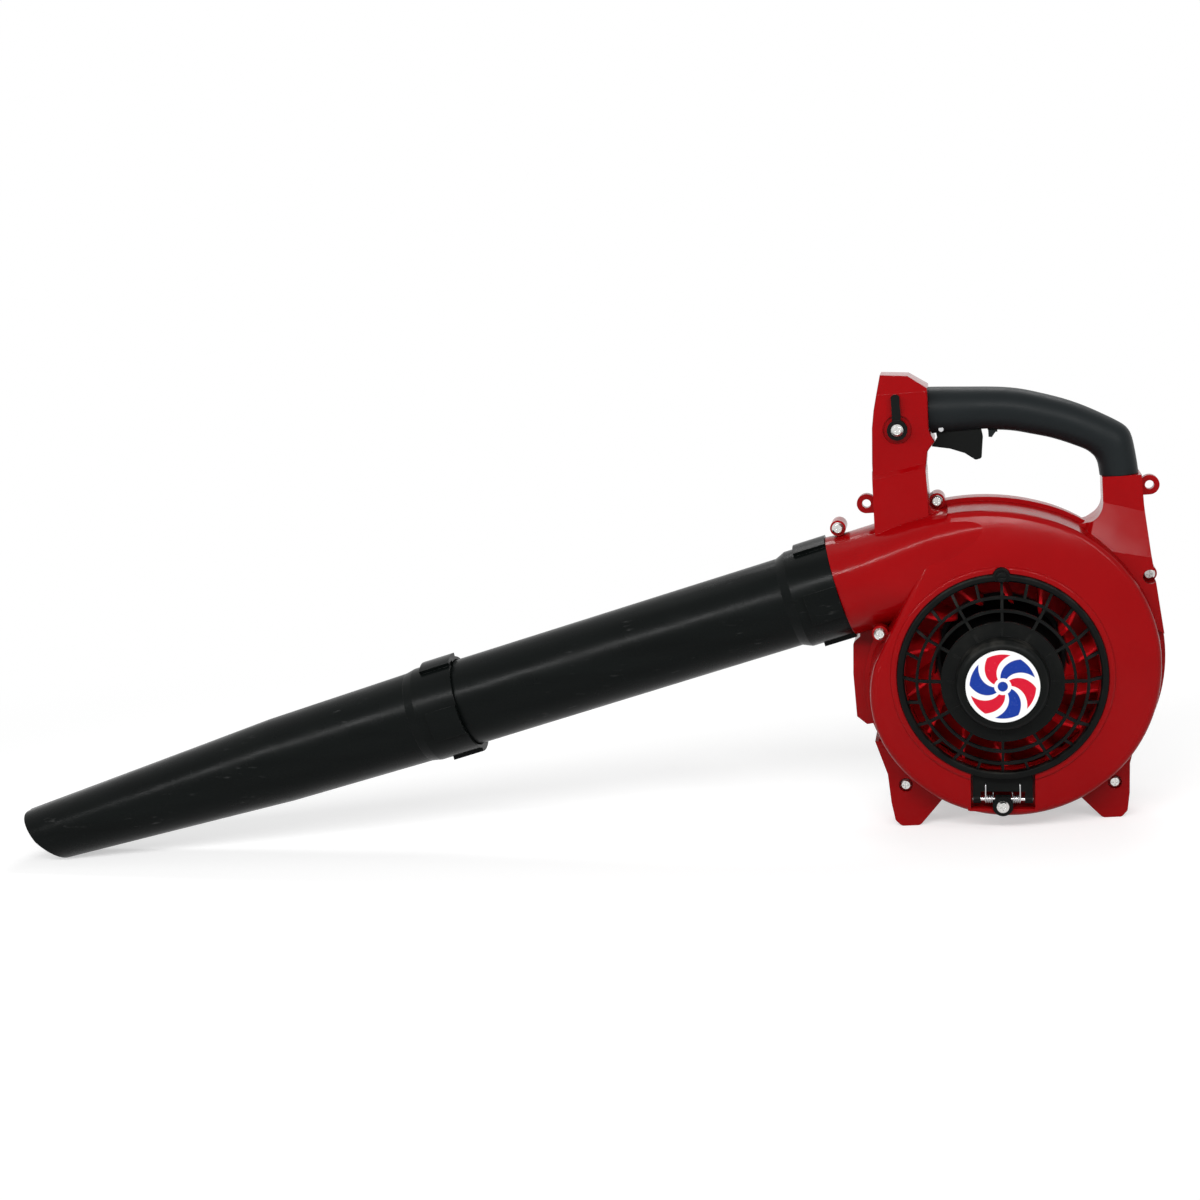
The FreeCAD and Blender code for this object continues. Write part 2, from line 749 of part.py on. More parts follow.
def pillar_hollows():
    """Space inside the front halves of both pillars."""
    left = Part.Face(Part.makePolygon([Vector(x, 0, z) for x, z in LEFT_PILLAR + LEFT_PILLAR[:1]]))
    left = left.makeOffset2D(-WALL).extrude(Vector(0, -PILLAR_DEPTH + WALL, 0))
    left = left.common(block((-100, -30), (-40, 1), (272, LEFT_BEVEL_Z - 4)))
    right = Part.Face(Part.makePolygon([Vector(x, 0, z) for x, z in RIGHT_PILLAR + RIGHT_PILLAR[:1]]))
    right = right.makeOffset2D(-WALL).extrude(Vector(0, -RIGHT_DEPTH + WALL, 0))
    right = right.common(block((80, 130), (-40, 1), (257, 300)))
    return [left, right]


def on_lip_edge(point):
    """Whether a point lies on the outer edge of the intake's lip."""
    return point.y < LIP_Y + 0.1 and Vector(point.x, 0, point.z - FAN_Z).Length > LIP_OUTER - 1


def half_outer(side):
    """Everything solid of one housing half before it is hollowed."""
    shapes = []
    if side < 0:
        body = front_scroll(0.0, 0.0).common(dish(0.0))
        rim_edges = edges_where(body, lambda p: p.y < FACE_OUT_Y)
        shapes.append(body.makeFillet(FACE_EDGE_FILLET, rim_edges))
        lip = washer(LIP_OUTER, THROAT_RADIUS, LIP_Y, THROAT_END_Y)
        shapes.append(lip.makeFillet(2.2, edges_where(lip, on_lip_edge)))
    else:
        body = scroll(0.0, REAR_FACE_Y, 0.0)
        back_edges = edges_where(body, lambda p: p.y > REAR_FACE_Y - 0.1)
        shapes.append(body.makeFillet(REAR_EDGE_FILLET, back_edges))
    shapes.append(scroll(0.0, side * RIM_DEPTH, -RIM_WIDTH))
    half_space = block(ALL_X, (0, side * FAR_Y), ALL_Z)
    shapes.append(on_tube_axis(duct_solid(0.0, OUTLET_RADIUS)).common(half_space))
    neck = [Part.makeCylinder(NECK_RADIUS, NECK_LENGTH + 5, Vector(0, 0, -5))] + outlet_lugs()
    shapes.append(on_tube_axis(joined(neck)).common(half_space))
    for pillar in (left_pillar(), right_pillar()):
        shapes.append(mirrored(pillar, side))
    for mirror_x in (1, -1):
        outline = [(mirror_x * x, z) for x, z in FOOT]
        shapes.append(plate(outline, 0.0, side * FOOT_DEPTH, 0.0, FOOT_CORNERS))
    for x, z in EYES:
        inward = 8.0 if x < 0 else -8.0
        shapes.append(disc(EYE_RADIUS, 0.0, side * EYE_DEPTH, (x, z)))
        shapes.append(block((x, x + inward), (0, side * EYE_DEPTH), (z - EYE_RADIUS, z + EYE_RADIUS - 2)))
    return joined(shapes)


def half_hollow(side):
    """Air space of one housing half."""
    spaces = []
    if side < 0:
        spaces.append(front_scroll(1.0, WALL).common(dish(WALL)))
    else:
        spaces.append(scroll(-1.0, REAR_FACE_Y - REAR_WALL, WALL))
    half_space = block(ALL_X, (-side * 1, side * FAR_Y), ALL_Z)
    spaces.append(on_tube_axis(duct_solid(WALL, NECK_RADIUS - NECK_WALL + DUCT_STEP)).common(half_space))
    bore = Part.makeCylinder(NECK_RADIUS - NECK_WALL, NECK_LENGTH + 10, Vector(0, 0, -5))
    spaces.append(on_tube_axis(bore))
    for hollow in pillar_hollows():
        spaces.append(mirrored(hollow, side))
    return spaces


def throat():
    """Short wall that guides the air from the intake to the fan."""
    return washer(THROAT_RADIUS + THROAT_WALL, THROAT_RADIUS, LEDGE_Y, THROAT_END_Y)


def notch_pocket():
    """Closed pocket behind the hinge notch, drawn upright."""
    outer = NOTCH_HALF + NOTCH_WALL
    low = FAN_Z - NOTCH_BOTTOM - NOTCH_WALL
    pocket = block((-outer, outer), (LEDGE_Y, NOTCH_FLOOR_Y + NOTCH_WALL), (low, FAN_Z - NOTCH_TOP))
    boss = disc(BOSS_RADIUS, LEDGE_Y + 2, NOTCH_FLOOR_Y + NOTCH_WALL, (0.0, FAN_Z - EAR_DROP))
    return pocket.fuse(boss).cut(disc(THROAT_RADIUS + 0.5, LEDGE_Y - 1, 0.0))


def notch_cut():
    """Space taken out for the hinge, its ear and its screw, drawn upright."""
    heights = (FAN_Z - NOTCH_BOTTOM, FAN_Z - NOTCH_TOP)
    notch = block((-NOTCH_HALF, NOTCH_HALF), (LIP_Y - 5, NOTCH_FLOOR_Y), heights)
    keep = disc(THROAT_RADIUS + 0.5, LIP_Y - 6, 0.0)
    seat = disc(EAR_RADIUS + 0.6, LIP_Y - 5, BRACKET_BACK_Y + HEAD_SEAT, (0.0, FAN_Z - EAR_DROP))
    hole = disc(SCREW_SHANK + SCREW_PLAY, LIP_Y - 5, NOTCH_FLOOR_Y, (0.0, FAN_Z - EAR_DROP))
    return notch.cut(keep).fuse([seat, hole])


def screw_bosses(side):
    """Round bosses that the housing screws pass through."""
    return [disc(BOSS_RADIUS, 0.0, seat if side < 0 else BOSS_REAR_Y, (x, z)) for x, z, seat in SCREWS]


def boss_holes():
    """Holes of the housing screws through both halves."""
    return [disc(SCREW_SHANK + SCREW_PLAY, -FRONT_DEPTH, BOSS_REAR_Y - 1, (x, z)) for x, z, _ in SCREWS]


def head_room():
    """Free space in front of the housing screws' heads."""
    return [disc(SCREW_HEAD + HEAD_PLAY, seat, -FRONT_DEPTH, (x, z)) for x, z, seat in SCREWS]


def front_housing():
    """Front half of the fan housing with its intake."""
    body = half_outer(-1).cut(half_hollow(-1))
    pocket = spun(notch_pocket(), -GRILLE_TILT).common(front_scroll(0.0, 0.0).common(dish(0.0)))
    body = joined([body, throat(), pocket] + screw_bosses(-1))
    cuts = boss_holes() + head_room()
    cuts.append(disc(LIP_INNER, LIP_Y - 5, LEDGE_Y))
    cuts.append(disc(THROAT_RADIUS, LIP_Y - 5, THROAT_END_Y + 1))
    cuts.append(spun(notch_cut(), -GRILLE_TILT))
    catch = (0.0, FAN_Z + CATCH_RISE)
    cuts.append(spun(disc(CATCH_EAR + 0.6, LIP_Y - 5, LEDGE_Y, catch), -GRILLE_TILT))
    cuts.append(spun(disc(CATCH_HOLE, LIP_Y - 5, CATCH_END_Y + 1, catch), -GRILLE_TILT))
    cuts.append(disc(LEVER_RECESS, -60.0, -PILLAR_DEPTH + LEVER_RECESS_DEPTH, LEVER_PIVOT))
    lever_boss = disc(BOSS_RADIUS, -PILLAR_DEPTH + LEVER_RECESS_DEPTH, -PILLAR_DEPTH + 14, LEVER_PIVOT)
    body = body.fuse(lever_boss).cut(cuts + shared_cuts())
    return body.cut(disc(SCREW_SHANK + SCREW_PLAY, -60.0, -PILLAR_DEPTH + 13, LEVER_PIVOT))


def shared_cuts():
    """Openings that both halves share: strap eyes and the way from the left pillar into the grip."""
    cuts = [disc(EYE_HOLE, -EYE_DEPTH - 5, EYE_DEPTH + 5, centre) for centre in EYES]
    cuts.append(block((-55, -38), (-9, 9), (320, 344)))
    return cuts


def cheek():
    """Open box on the left of the rear housing that shields the carburettor side."""
    outer = plate(CHEEK, CHEEK_FRONT_Y, CHEEK_BACK_Y, 0.0, {3: CHEEK_CORNER, 4: CHEEK_CORNER})
    loop = Part.Face(Part.makePolygon([Vector(x, CHEEK_FRONT_Y + WALL, z) for x, z in CHEEK + CHEEK[:1]]))
    inner = loop.makeOffset2D(-WALL).extrude(Vector(0, CHEEK_BACK_Y, 0))
    return outer.cut(inner)


def rear_housing():
    """Rear half of the fan housing with the plate that carries the engine."""
    air = half_hollow(1)
    body = half_outer(1)
    outside = scroll(-1.0, REAR_FACE_Y, 0.0)
    guard = cheek().cut([outside, on_tube_axis(duct_solid(0.5, OUTLET_RADIUS - 0.5))])
    body = body.cut(air)
    body = joined([body, guard] + screw_bosses(1))
    cuts = boss_holes() + shared_cuts()
    cuts.append(disc(CASE_SNOUT_RADIUS + 0.3, 0.0, REAR_FACE_Y + 1))
    for index in range(MOUNT_BOLTS):
        centre = about_fan(45 + index * 360 / MOUNT_BOLTS, MOUNT_BOLT_CIRCLE)
        cuts.append(disc(SCREW_SHANK + SCREW_PLAY, 0.0, REAR_FACE_Y + 1, centre))
    travel = (SWITCH_Z - SWITCH_STEM - 0.4, SWITCH_Z + SWITCH_TRAVEL + SWITCH_STEM + 0.4)
    reach = SWITCH_STEM + 0.4
    cuts.append(block((SWITCH_X - reach, SWITCH_X + reach), (10, 40), travel))
    start, end = CABLE_ROUTE[3], CABLE_ROUTE[4]
    way = CABLE_RADIUS + CABLE_PLAY
    corner = Part.makeSphere(way, Vector(*start))
    cuts.append(rod(way, CABLE_ROUTE[2], start).fuse([rod(way, start, end), corner]))
    return body.cut(cuts)


def pan_screw(centre, head_y, length):
    """Pan-head screw along Y with a cross recess; its head stands in front of head_y."""
    x, z = centre
    top = head_y - SCREW_HEAD_HEIGHT
    head = turned((
        (0, head_y), (SCREW_HEAD, head_y), (SCREW_HEAD, head_y - 1.4), (SCREW_HEAD - 1.6, top), (0, top),
    ), centre)
    shank = disc(SCREW_SHANK, head_y - 0.5, head_y + length, centre)
    arm = SCREW_HEAD * 0.55
    half = SCREW_SLOT / 2
    deep = (top - 1, top + SCREW_SLOT_DEPTH)
    slots = [
        block((x - arm, x + arm), deep, (z - half, z + half)),
        block((x - half, x + half), deep, (z - arm, z + arm)),
    ]
    return head.fuse(shank).cut(slots)


def housing_screws():
    """Pan-head screws of the housing halves, of the cruise lever and of the hinge bracket."""
    screws = [pan_screw((x, z), seat - HEAD_SEAT, SCREW_END_Y - seat) for x, z, seat in SCREWS]
    screws.append(pan_screw(LEVER_PIVOT, LEVER_FRONT_Y + 1.1, 17.0))
    bracket = pan_screw((0.0, FAN_Z - EAR_DROP), BRACKET_FRONT_Y - HEAD_SEAT, 11.0)
    screws.append(spun(bracket, -GRILLE_TILT))
    return Part.makeCompound(screws)


def smooth_curve(points, closed=False):
    """Smooth curve through points; an open one runs from 0 to 1 with equal steps between them."""
    curve = Part.BSplineCurve()
    if closed:
        curve.interpolate(Points=points, PeriodicFlag=True)
    else:
        steps = [index / (len(points) - 1) for index in range(len(points))]
        curve.interpolate(Points=points, Parameters=steps)
    return curve


def grip_solid(inset):
    """Solid bar of the grip, drawn in by an inset."""
    outer = smooth_curve([Vector(x, 0, z) for (x, z), _, _ in GRIP_STATIONS])
    inner = smooth_curve([Vector(x, 0, z) for _, (x, z), _ in GRIP_STATIONS])
    halves = smooth_curve([Vector(index, half, 0) for index, (_, _, half) in enumerate(GRIP_STATIONS)])
    wires = []
    for index in range(GRIP_SECTIONS):
        share = index / (GRIP_SECTIONS - 1)
        far, near = outer.value(share), inner.value(share)
        tall = (far - near).Length / 2
        up = (far - near).normalize()
        wires.append(grip_section((far + near) / 2, up, tall - inset, halves.value(share).y - inset))
    return Part.makeLoft(wires, True, False)


def grip_section(centre, up, tall, half):
    """Oval cross-section of the grip."""
    side = Vector(0, 1, 0)
    points = []
    for index in range(GRIP_SECTION_POINTS):
        angle = 2 * math.pi * index / GRIP_SECTION_POINTS
        points.append(centre + up * tall * math.cos(angle) + side * half * math.sin(angle))
    return Part.Wire(smooth_curve(points, True).toShape())


def grip_half(side):
    """One half shell of the grip, between the two pillars."""
    body = grip_solid(0.0).cut(grip_solid(GRIP_WALL))
    hook_x = (GRIP_HOOK[0][0], GRIP_HOOK[3][0])
    body = body.fuse(block(hook_x, (-GRIP_HOOK_HALF, GRIP_HOOK_HALF), (316.0, 319.0)))
    body = body.fuse(plate(GRIP_HOOK, -GRIP_HOOK_HALF, GRIP_HOOK_HALF))
    keep = block((-100, 200), (0, side * 40), (RIGHT_PILLAR[0][1] + GRIP_GAP, 400))
    pillar = Part.Face(Part.makePolygon([Vector(x, -60, z) for x, z in LEFT_PILLAR + LEFT_PILLAR[:1]]))
    pillar = pillar.makeOffset2D(GRIP_GAP).extrude(Vector(0, 120, 0))
    far_left = block((-100, LEFT_PILLAR[9][0] - 1), (-60, 60), (200, 400))
    beside_pillar = block((LEFT_PILLAR[7][0] - 0.5, 0), (-60, 60), (200, 400))
    slot_y = (-TRIGGER_SLOT_HALF, TRIGGER_SLOT_HALF)
    slot = block((TRIGGER_SLOT_LEFT, TRIGGER_SLOT_RIGHT), slot_y, (290, 326))
    body = body.common(keep).cut([pillar, far_left.cut(beside_pillar), slot])
    tower = disc(PIN_BOSS_RADIUS, side * (TRIGGER_HALF + 0.3), side * 16.5, TRIGGER_PIVOT)
    body = body.fuse(tower.common(grip_solid(0.5)))
    pin = disc(TRIGGER_PIN_RADIUS + 0.02, -13.0, 13.0, TRIGGER_PIVOT)
    return body.cut(pin)


def throttle_trigger():
    """Trigger blade that turns on a pin inside the grip."""
    body = plate(TRIGGER, -TRIGGER_HALF, TRIGGER_HALF, 0.0, {5: 2.0, 6: 2.0, 8: 3.0, 9: 3.0})
    body = body.fuse(disc(TRIGGER_BOSS, -TRIGGER_HALF, TRIGGER_HALF, TRIGGER_PIVOT))
    return body.cut(disc(TRIGGER_PIN_RADIUS + TRIGGER_PLAY, -20.0, 20.0, TRIGGER_PIVOT)).removeSplitter()


def trigger_pin():
    """Steel pin of the trigger."""
    return disc(TRIGGER_PIN_RADIUS, -12.5, 12.5, TRIGGER_PIVOT)


def cruise_lever():
    """Cruise lever with its round boss in the pillar's recess."""
    x, z = LEVER_PIVOT
    back = -PILLAR_DEPTH - LEVER_GAP
    boss = disc(LEVER_BOSS, LEVER_FRONT_Y, -PILLAR_DEPTH + LEVER_RECESS_DEPTH - 0.3, LEVER_PIVOT)
    half = LEVER_ARM_WIDTH / 2
    arm = plate(
        ((x - half, z), (x + half, z), (x + half, z + LEVER_ARM), (x - half, z + LEVER_ARM)),
        LEVER_FRONT_Y + 1.0, back, 0.0, {2: 2.5, 3: 2.5},
    )
    seat = disc(SCREW_HEAD + 0.6, LEVER_FRONT_Y - 1, LEVER_FRONT_Y + 1.2, LEVER_PIVOT)
    hole = disc(SCREW_SHANK + SCREW_PLAY, -60.0, 0.0, LEVER_PIVOT)
    return joined([boss, arm]).cut([seat, hole])


def stop_switch():
    """Sliding stop switch on the back of the left pillar."""
    y = PILLAR_DEPTH
    x0, x1 = SWITCH_X - SWITCH_HALF_WIDTH, SWITCH_X + SWITCH_HALF_WIDTH
    z0, z1 = SWITCH_Z - SWITCH_HALF_HEIGHT, SWITCH_Z + SWITCH_HALF_HEIGHT
    knob = block((x0, x1), (y + 0.3, y + SWITCH_HEIGHT), (z0, z1))
    knob = knob.makeFillet(1.0, edges_where(knob, lambda p: p.y > y + SWITCH_HEIGHT - 0.1))
    grooves = [
        block((x0 - 1, x1 + 1), (y + SWITCH_HEIGHT - 0.8, y + SWITCH_HEIGHT + 1), (z - 0.5, z + 0.5))
        for z in (SWITCH_Z - 2.2, SWITCH_Z, SWITCH_Z + 2.2)
    ]
    stem = block((SWITCH_X - SWITCH_STEM, SWITCH_X + SWITCH_STEM), (y - WALL - 3, y + 1),
                 (SWITCH_Z - SWITCH_STEM, SWITCH_Z + SWITCH_STEM))
    keeper = block((x0, x1), (y - WALL - 2.6, y - WALL - 0.4), (SWITCH_Z - 3, SWITCH_Z + 3))
    return joined([knob.cut(grooves), stem, keeper])


def grille_ring(radius, y):
    """One ring of the grille."""
    half = RING_WIDTH / 2
    return washer(radius + half, radius - half, y - RING_DEPTH / 2, y + RING_DEPTH / 2)


def rib(profile, angle):
    """Flat rib in a plane through the fan axis; profile is (radius, y) corners."""
    face = polygon([Vector(radius, y, FAN_Z - RIB_WIDTH / 2) for radius, y in profile])
    return spun(face.extrude(Vector(0, 0, RIB_WIDTH)), angle)


def grille_hub():
    """Closed dome in the middle of the grille."""
    flat, shoulder = HUB_FLAT, HUB_RADIUS
    ring_radius, ring_y = GRILLE_RINGS[2]
    base = Vector(0, 0, FAN_Z)

    def at(radius, y):
        return base + Vector(radius, y, 0)

    bend = math.sqrt(0.5)
    fall = HUB_SHOULDER_Y - HUB_FRONT_Y
    under = HUB_FRONT_Y + HUB_WALL
    outer_mid = at(flat + (shoulder - flat) * bend, HUB_FRONT_Y + fall * (1 - bend))
    inner_mid = at(flat + (shoulder - HUB_WALL - flat) * bend, under + (fall - HUB_WALL) * (1 - bend))
    corners = [
        at(shoulder, HUB_SHOULDER_Y), at(shoulder + 0.8, HUB_SKIRT_Y),
        at(ring_radius, ring_y - RING_DEPTH / 2), at(ring_radius, ring_y + RING_DEPTH / 2),
        at(shoulder - HUB_WALL + 0.8, HUB_SKIRT_Y + HUB_WALL), at(shoulder - HUB_WALL, HUB_SHOULDER_Y),
    ]
    edges = [Part.makeLine(at(0, HUB_FRONT_Y), at(flat, HUB_FRONT_Y))]
    edges.append(Part.Arc(at(flat, HUB_FRONT_Y), outer_mid, corners[0]).toShape())
    for start, end in zip(corners, corners[1:]):
        edges.append(Part.makeLine(start, end))
    edges.append(Part.Arc(corners[-1], inner_mid, at(flat, under)).toShape())
    edges.append(Part.makeLine(at(flat, under), at(0, under)))
    edges.append(Part.makeLine(at(0, under), at(0, HUB_FRONT_Y)))
    return Part.Face(Part.Wire(edges)).revolve(base, Vector(0, 1, 0), 360)


def intake_grille():
    """Grille with its ribs, rings, dome, hinge plate and catch ear."""
    (ra, ya), (rb, yb), (rc, yc) = GRILLE_RINGS
    half = RING_DEPTH / 2 - 0.3
    rim_y = (GRILLE_RIM_FRONT_Y + GRILLE_RIM_BACK_Y) / 2
    rim_end, hub_end = GRILLE_RIM_INNER + 1, HUB_RADIUS - 1
    outer_part = [(ra, ya - half), (rim_end, rim_y - half), (rim_end, rim_y + half), (ra, ya + half)]
    long_part = [(hub_end, HUB_SKIRT_Y - 1), (rc, yc - half), (rb, yb - half)] + outer_part
    long_part += [(rb, yb + half), (rc, yc + half), (hub_end, HUB_SKIRT_Y + 1)]
    rim = washer(GRILLE_RIM_OUTER, GRILLE_RIM_INNER, GRILLE_RIM_FRONT_Y, GRILLE_RIM_BACK_Y)
    rim = rim.makeFillet(1.5, edges_where(rim, lambda p: p.y < GRILLE_RIM_FRONT_Y + 0.1))
    shapes = [rim, grille_hub()]
    shapes += [grille_ring(radius, y) for radius, y in GRILLE_RINGS]
    step = 360 / LONG_RIBS
    for index in range(LONG_RIBS):
        shapes.append(rib(long_part, index * step))
        shapes.append(rib(outer_part, (index + 0.5) * step))
    hinge_z = FAN_Z - HINGE_DROP
    half_plate = HINGE_PLATE_HALF
    y0, y1 = HINGE_PLATE_FRONT_Y, HINGE_PLATE_BACK_Y
    plate_top = FAN_Z - GRILLE_RIM_INNER - 0.8
    web = block((-half_plate, half_plate), (y0, y1), (hinge_z + 6.5, plate_top))
    link_z = (FAN_Z - GRILLE_RIM_OUTER + 0.6, plate_top)
    link = block((-half_plate, half_plate), (GRILLE_RIM_BACK_Y - 1.5, y1), link_z)
    link = link.common(disc(GRILLE_RIM_OUTER, -70.0, 0.0)).cut(disc(GRILLE_RIM_INNER, -70.0, 0.0))
    shapes += [web, link]
    for side in (-1, 1):
        x = (side * KNUCKLE_INNER_X, side * half_plate)
        shapes.append(rod(HINGE_KNUCKLE, (x[0], HINGE_Y, hinge_z), (x[1], HINGE_Y, hinge_z)))
        shapes.append(block(x, (y0, y1), (hinge_z, hinge_z + 7)))
    ear = disc(CATCH_EAR, GRILLE_RIM_FRONT_Y, GRILLE_RIM_BACK_Y, (0.0, FAN_Z + CATCH_RISE))
    shapes.append(ear.cut(disc(GRILLE_RIM_INNER, -70.0, 0.0)))
    body = joined(shapes)
    cuts = [
        rod(HINGE_PIN_RADIUS + HINGE_PLAY, (-40, HINGE_Y, hinge_z), (40, HINGE_Y, hinge_z)),
        disc(CATCH_SHAFT + 0.06, -80.0, -40.0, (0.0, FAN_Z + CATCH_RISE)),
    ]
    return spun(body.cut(cuts), -GRILLE_TILT)


def medallion():
    """Thin round plate on the dome."""
    return disc(MEDALLION_RADIUS, HUB_FRONT_Y, HUB_FRONT_Y - MEDALLION_THICK)


def hinge_bracket():
    """Bracket with an ear for its screw and a knuckle on the hinge pin."""
    hinge_z = FAN_Z - HINGE_DROP
    ear_z = FAN_Z - EAR_DROP
    y0, y1 = BRACKET_FRONT_Y, BRACKET_BACK_Y
    ear = disc(EAR_RADIUS, y0, y1, (0.0, ear_z))
    flare = plate((
        (-EAR_RADIUS, ear_z), (EAR_RADIUS, ear_z), (BRACKET_HALF, hinge_z + 1), (-BRACKET_HALF, hinge_z + 1),
    ), y0, y1)
    knuckle = rod(BRACKET_KNUCKLE, (-BRACKET_HALF, HINGE_Y, hinge_z), (BRACKET_HALF, HINGE_Y, hinge_z))
    body = joined([ear, flare, knuckle])
    hole = disc(SCREW_SHANK + SCREW_PLAY, -80.0, 0.0, (0.0, ear_z))
    pin = rod(HINGE_PIN_RADIUS + 0.03, (-40, HINGE_Y, hinge_z), (40, HINGE_Y, hinge_z))
    return spun(body.cut([hole, pin]), -GRILLE_TILT)


def grille_hinge_pin():
    """Steel pin of the grille hinge."""
    z = FAN_Z - HINGE_DROP
    pin = rod(HINGE_PIN_RADIUS, (-HINGE_PIN_HALF, HINGE_Y, z), (HINGE_PIN_HALF, HINGE_Y, z))
    return spun(pin, -GRILLE_TILT)


def biarc(start, start_dir, end, end_dir):
    """Two tangent arcs between two points with given directions."""
    chord = end - start
    both = start_dir + end_dir
    gap = 1 - start_dir.dot(end_dir)
    dot = chord.dot(both)
    reach = (-dot + math.sqrt(dot * dot + 2 * gap * chord.dot(chord))) / (2 * gap)
    first = start + start_dir * reach
    second = end - end_dir * reach
    middle = (first + second) / 2
    return [arc_through(start, first, middle), arc_through(middle, second, end)]


def arc_through(start, corner, end):
    """Arc from start to end whose end tangents meet at a corner."""
    chord_middle = (start + end) / 2
    half_chord = (end - start).Length / 2
    reach = (corner - start).Length
    angle = math.acos(half_chord / reach)
    share = math.tan(angle / 2) / math.tan(angle)
    return Part.Arc(start, chord_middle + (corner - chord_middle) * share, end).toShape()


def coil_edges(centre, axis, across, radius, pitch, quarters):
    """Edges of a helix as biarcs of a quarter turn each, from the side named by across."""
    up = axis.cross(across)

    def point(step):
        turn = step * math.pi / 2
        radial = across * math.cos(turn) + up * math.sin(turn)
        return centre + radial * radius + axis * (pitch * step / 4)

    def direction(step):
        turn = step * math.pi / 2
        around = up * math.cos(turn) - across * math.sin(turn)
        return (around * radius + axis * (pitch / (2 * math.pi))).normalize()

    edges = []
    for step in range(quarters):
        edges += biarc(point(step), direction(step), point(step + 1), direction(step + 1))
    return edges, point(0), direction(0), point(quarters), direction(quarters)


def swept(edges, radius):
    """Round wire along a chain of edges."""
    path = Part.Wire(edges)
    start = edges[0]
    normal = start.tangentAt(start.FirstParameter)
    origin = start.valueAt(start.FirstParameter)
    profile = Part.Wire(Part.makeCircle(radius, origin, normal))
    return path.makePipeShell([profile], True, False)


def grille_springs():
    """Two torsion springs on the grille's hinge pin that push the grille shut."""
    centre = Vector(-SPRING_START_X, HINGE_Y, FAN_Z - HINGE_DROP)
    axis = Vector(-1, 0, 0)
    quarters = SPRING_TURNS * 4 + 2
    back = Vector(0, 1, 0)
    coil = coil_edges(centre, axis, back, SPRING_COIL, SPRING_PITCH, quarters)
    edges, start, start_dir, end, end_dir = coil
    first = Part.makeLine(start - start_dir * SPRING_FOOT, start)
    last = Part.makeLine(end, end + end_dir * SPRING_LEG)
    left = swept([first] + edges + [last], SPRING_WIRE)
    right = left.mirror(Vector(0, 0, 0), Vector(1, 0, 0))
    print("grille spring: gap between turns", round(SPRING_PITCH - 2 * SPRING_WIRE, 2), "mm")
    return spun(Part.makeCompound([left, right]), -GRILLE_TILT)


def grille_catch():
    """Quarter-turn catch at the top of the grille."""
    centre = (0.0, FAN_Z + CATCH_RISE)
    knob = disc(CATCH_KNOB, CATCH_TOP_Y, GRILLE_RIM_FRONT_Y - 0.2, centre)
    knob = knob.makeFillet(0.8, edges_where(knob, lambda p: p.y < CATCH_TOP_Y + 0.1))
    shaft = disc(CATCH_SHAFT, CATCH_TOP_Y + 1, CATCH_END_Y, centre)
    slot_z = (centre[1] - 0.7, centre[1] + 0.7)
    slot = block((-CATCH_KNOB, CATCH_KNOB), (CATCH_TOP_Y - 1, CATCH_TOP_Y + 1.2), slot_z)
    return spun(joined([knob, shaft]).cut(slot), -GRILLE_TILT)


def fan_impeller():
    """Impeller: a back plate with leaning vanes."""
    shapes = [washer(FAN_RADIUS, SHAFT_RADIUS + 8, FAN_PLATE_Y, FAN_PLATE_Y + FAN_PLATE_THICK)]
    lean = math.radians(VANE_LEAN)
    span = (FAN_RADIUS - VANE_INNER) / math.cos(lean)
    x, z = VANE_INNER, FAN_Z
    nx, nz = -math.sin(lean) * VANE_THICK / 2, math.cos(lean) * VANE_THICK / 2
    dx, dz = math.cos(lean) * span * 1.02, math.sin(lean) * span * 1.02
    loop = [
        (x + nx, z + nz), (x - nx, z - nz), (x - nx + dx, z - nz + dz), (x + nx + dx, z + nz + dz),
    ]
    vane = plate(loop, VANE_FRONT_Y, FAN_PLATE_Y + 0.5)
    for index in range(VANE_COUNT):
        shapes.append(spun(vane, index * 360 / VANE_COUNT))
    body = joined(shapes).common(disc(FAN_RADIUS, -80.0, 80.0))
    top, low = VANE_FRONT_Y - 1, -10.0
    relief = turned(((0, top), (VANE_INNER + 9, top), (VANE_INNER - 4, low), (0, low)))
    return body.cut(relief)


def fan_cone():
    """Dark cone in the eye of the fan, clamped on the shaft."""
    back = FAN_PLATE_Y - 0.2
    profile = (
        (SHAFT_RADIUS + FAN_BORE_PLAY, CONE_NOSE_Y), (CONE_NOSE, CONE_NOSE_Y), (CONE_NOSE + 6, 2.0),
        (CONE_RADIUS, back - 3), (CONE_RADIUS, back), (SHAFT_RADIUS + 7.6, back),
        (SHAFT_RADIUS + 7.6, back + 4), (SHAFT_RADIUS + FAN_BORE_PLAY, back + 4),
    )
    return turned(profile)


def hex_nut(y_from, y_to, across, hole):
    """Hexagon nut on the fan axis."""
    points = [about_fan(60 * index, across) for index in range(6)]
    return plate(points, y_from, y_to).cut(disc(hole, y_from - 1, y_to + 1))


def shaft_nuts():
    """Nuts at both ends of the shaft: one clamps the fan, the other the flywheel and the starter cup."""
    fan = hex_nut(CONE_NOSE_Y - 0.1 - NUT_HEIGHT, CONE_NOSE_Y - 0.1, NUT_RADIUS, SHAFT_RADIUS + 0.03)
    wheel = hex_nut(CUP_Y + 1.8, CUP_Y + 8, 8.4, SHAFT_RADIUS + 0.03)
    return Part.makeCompound([fan, wheel])


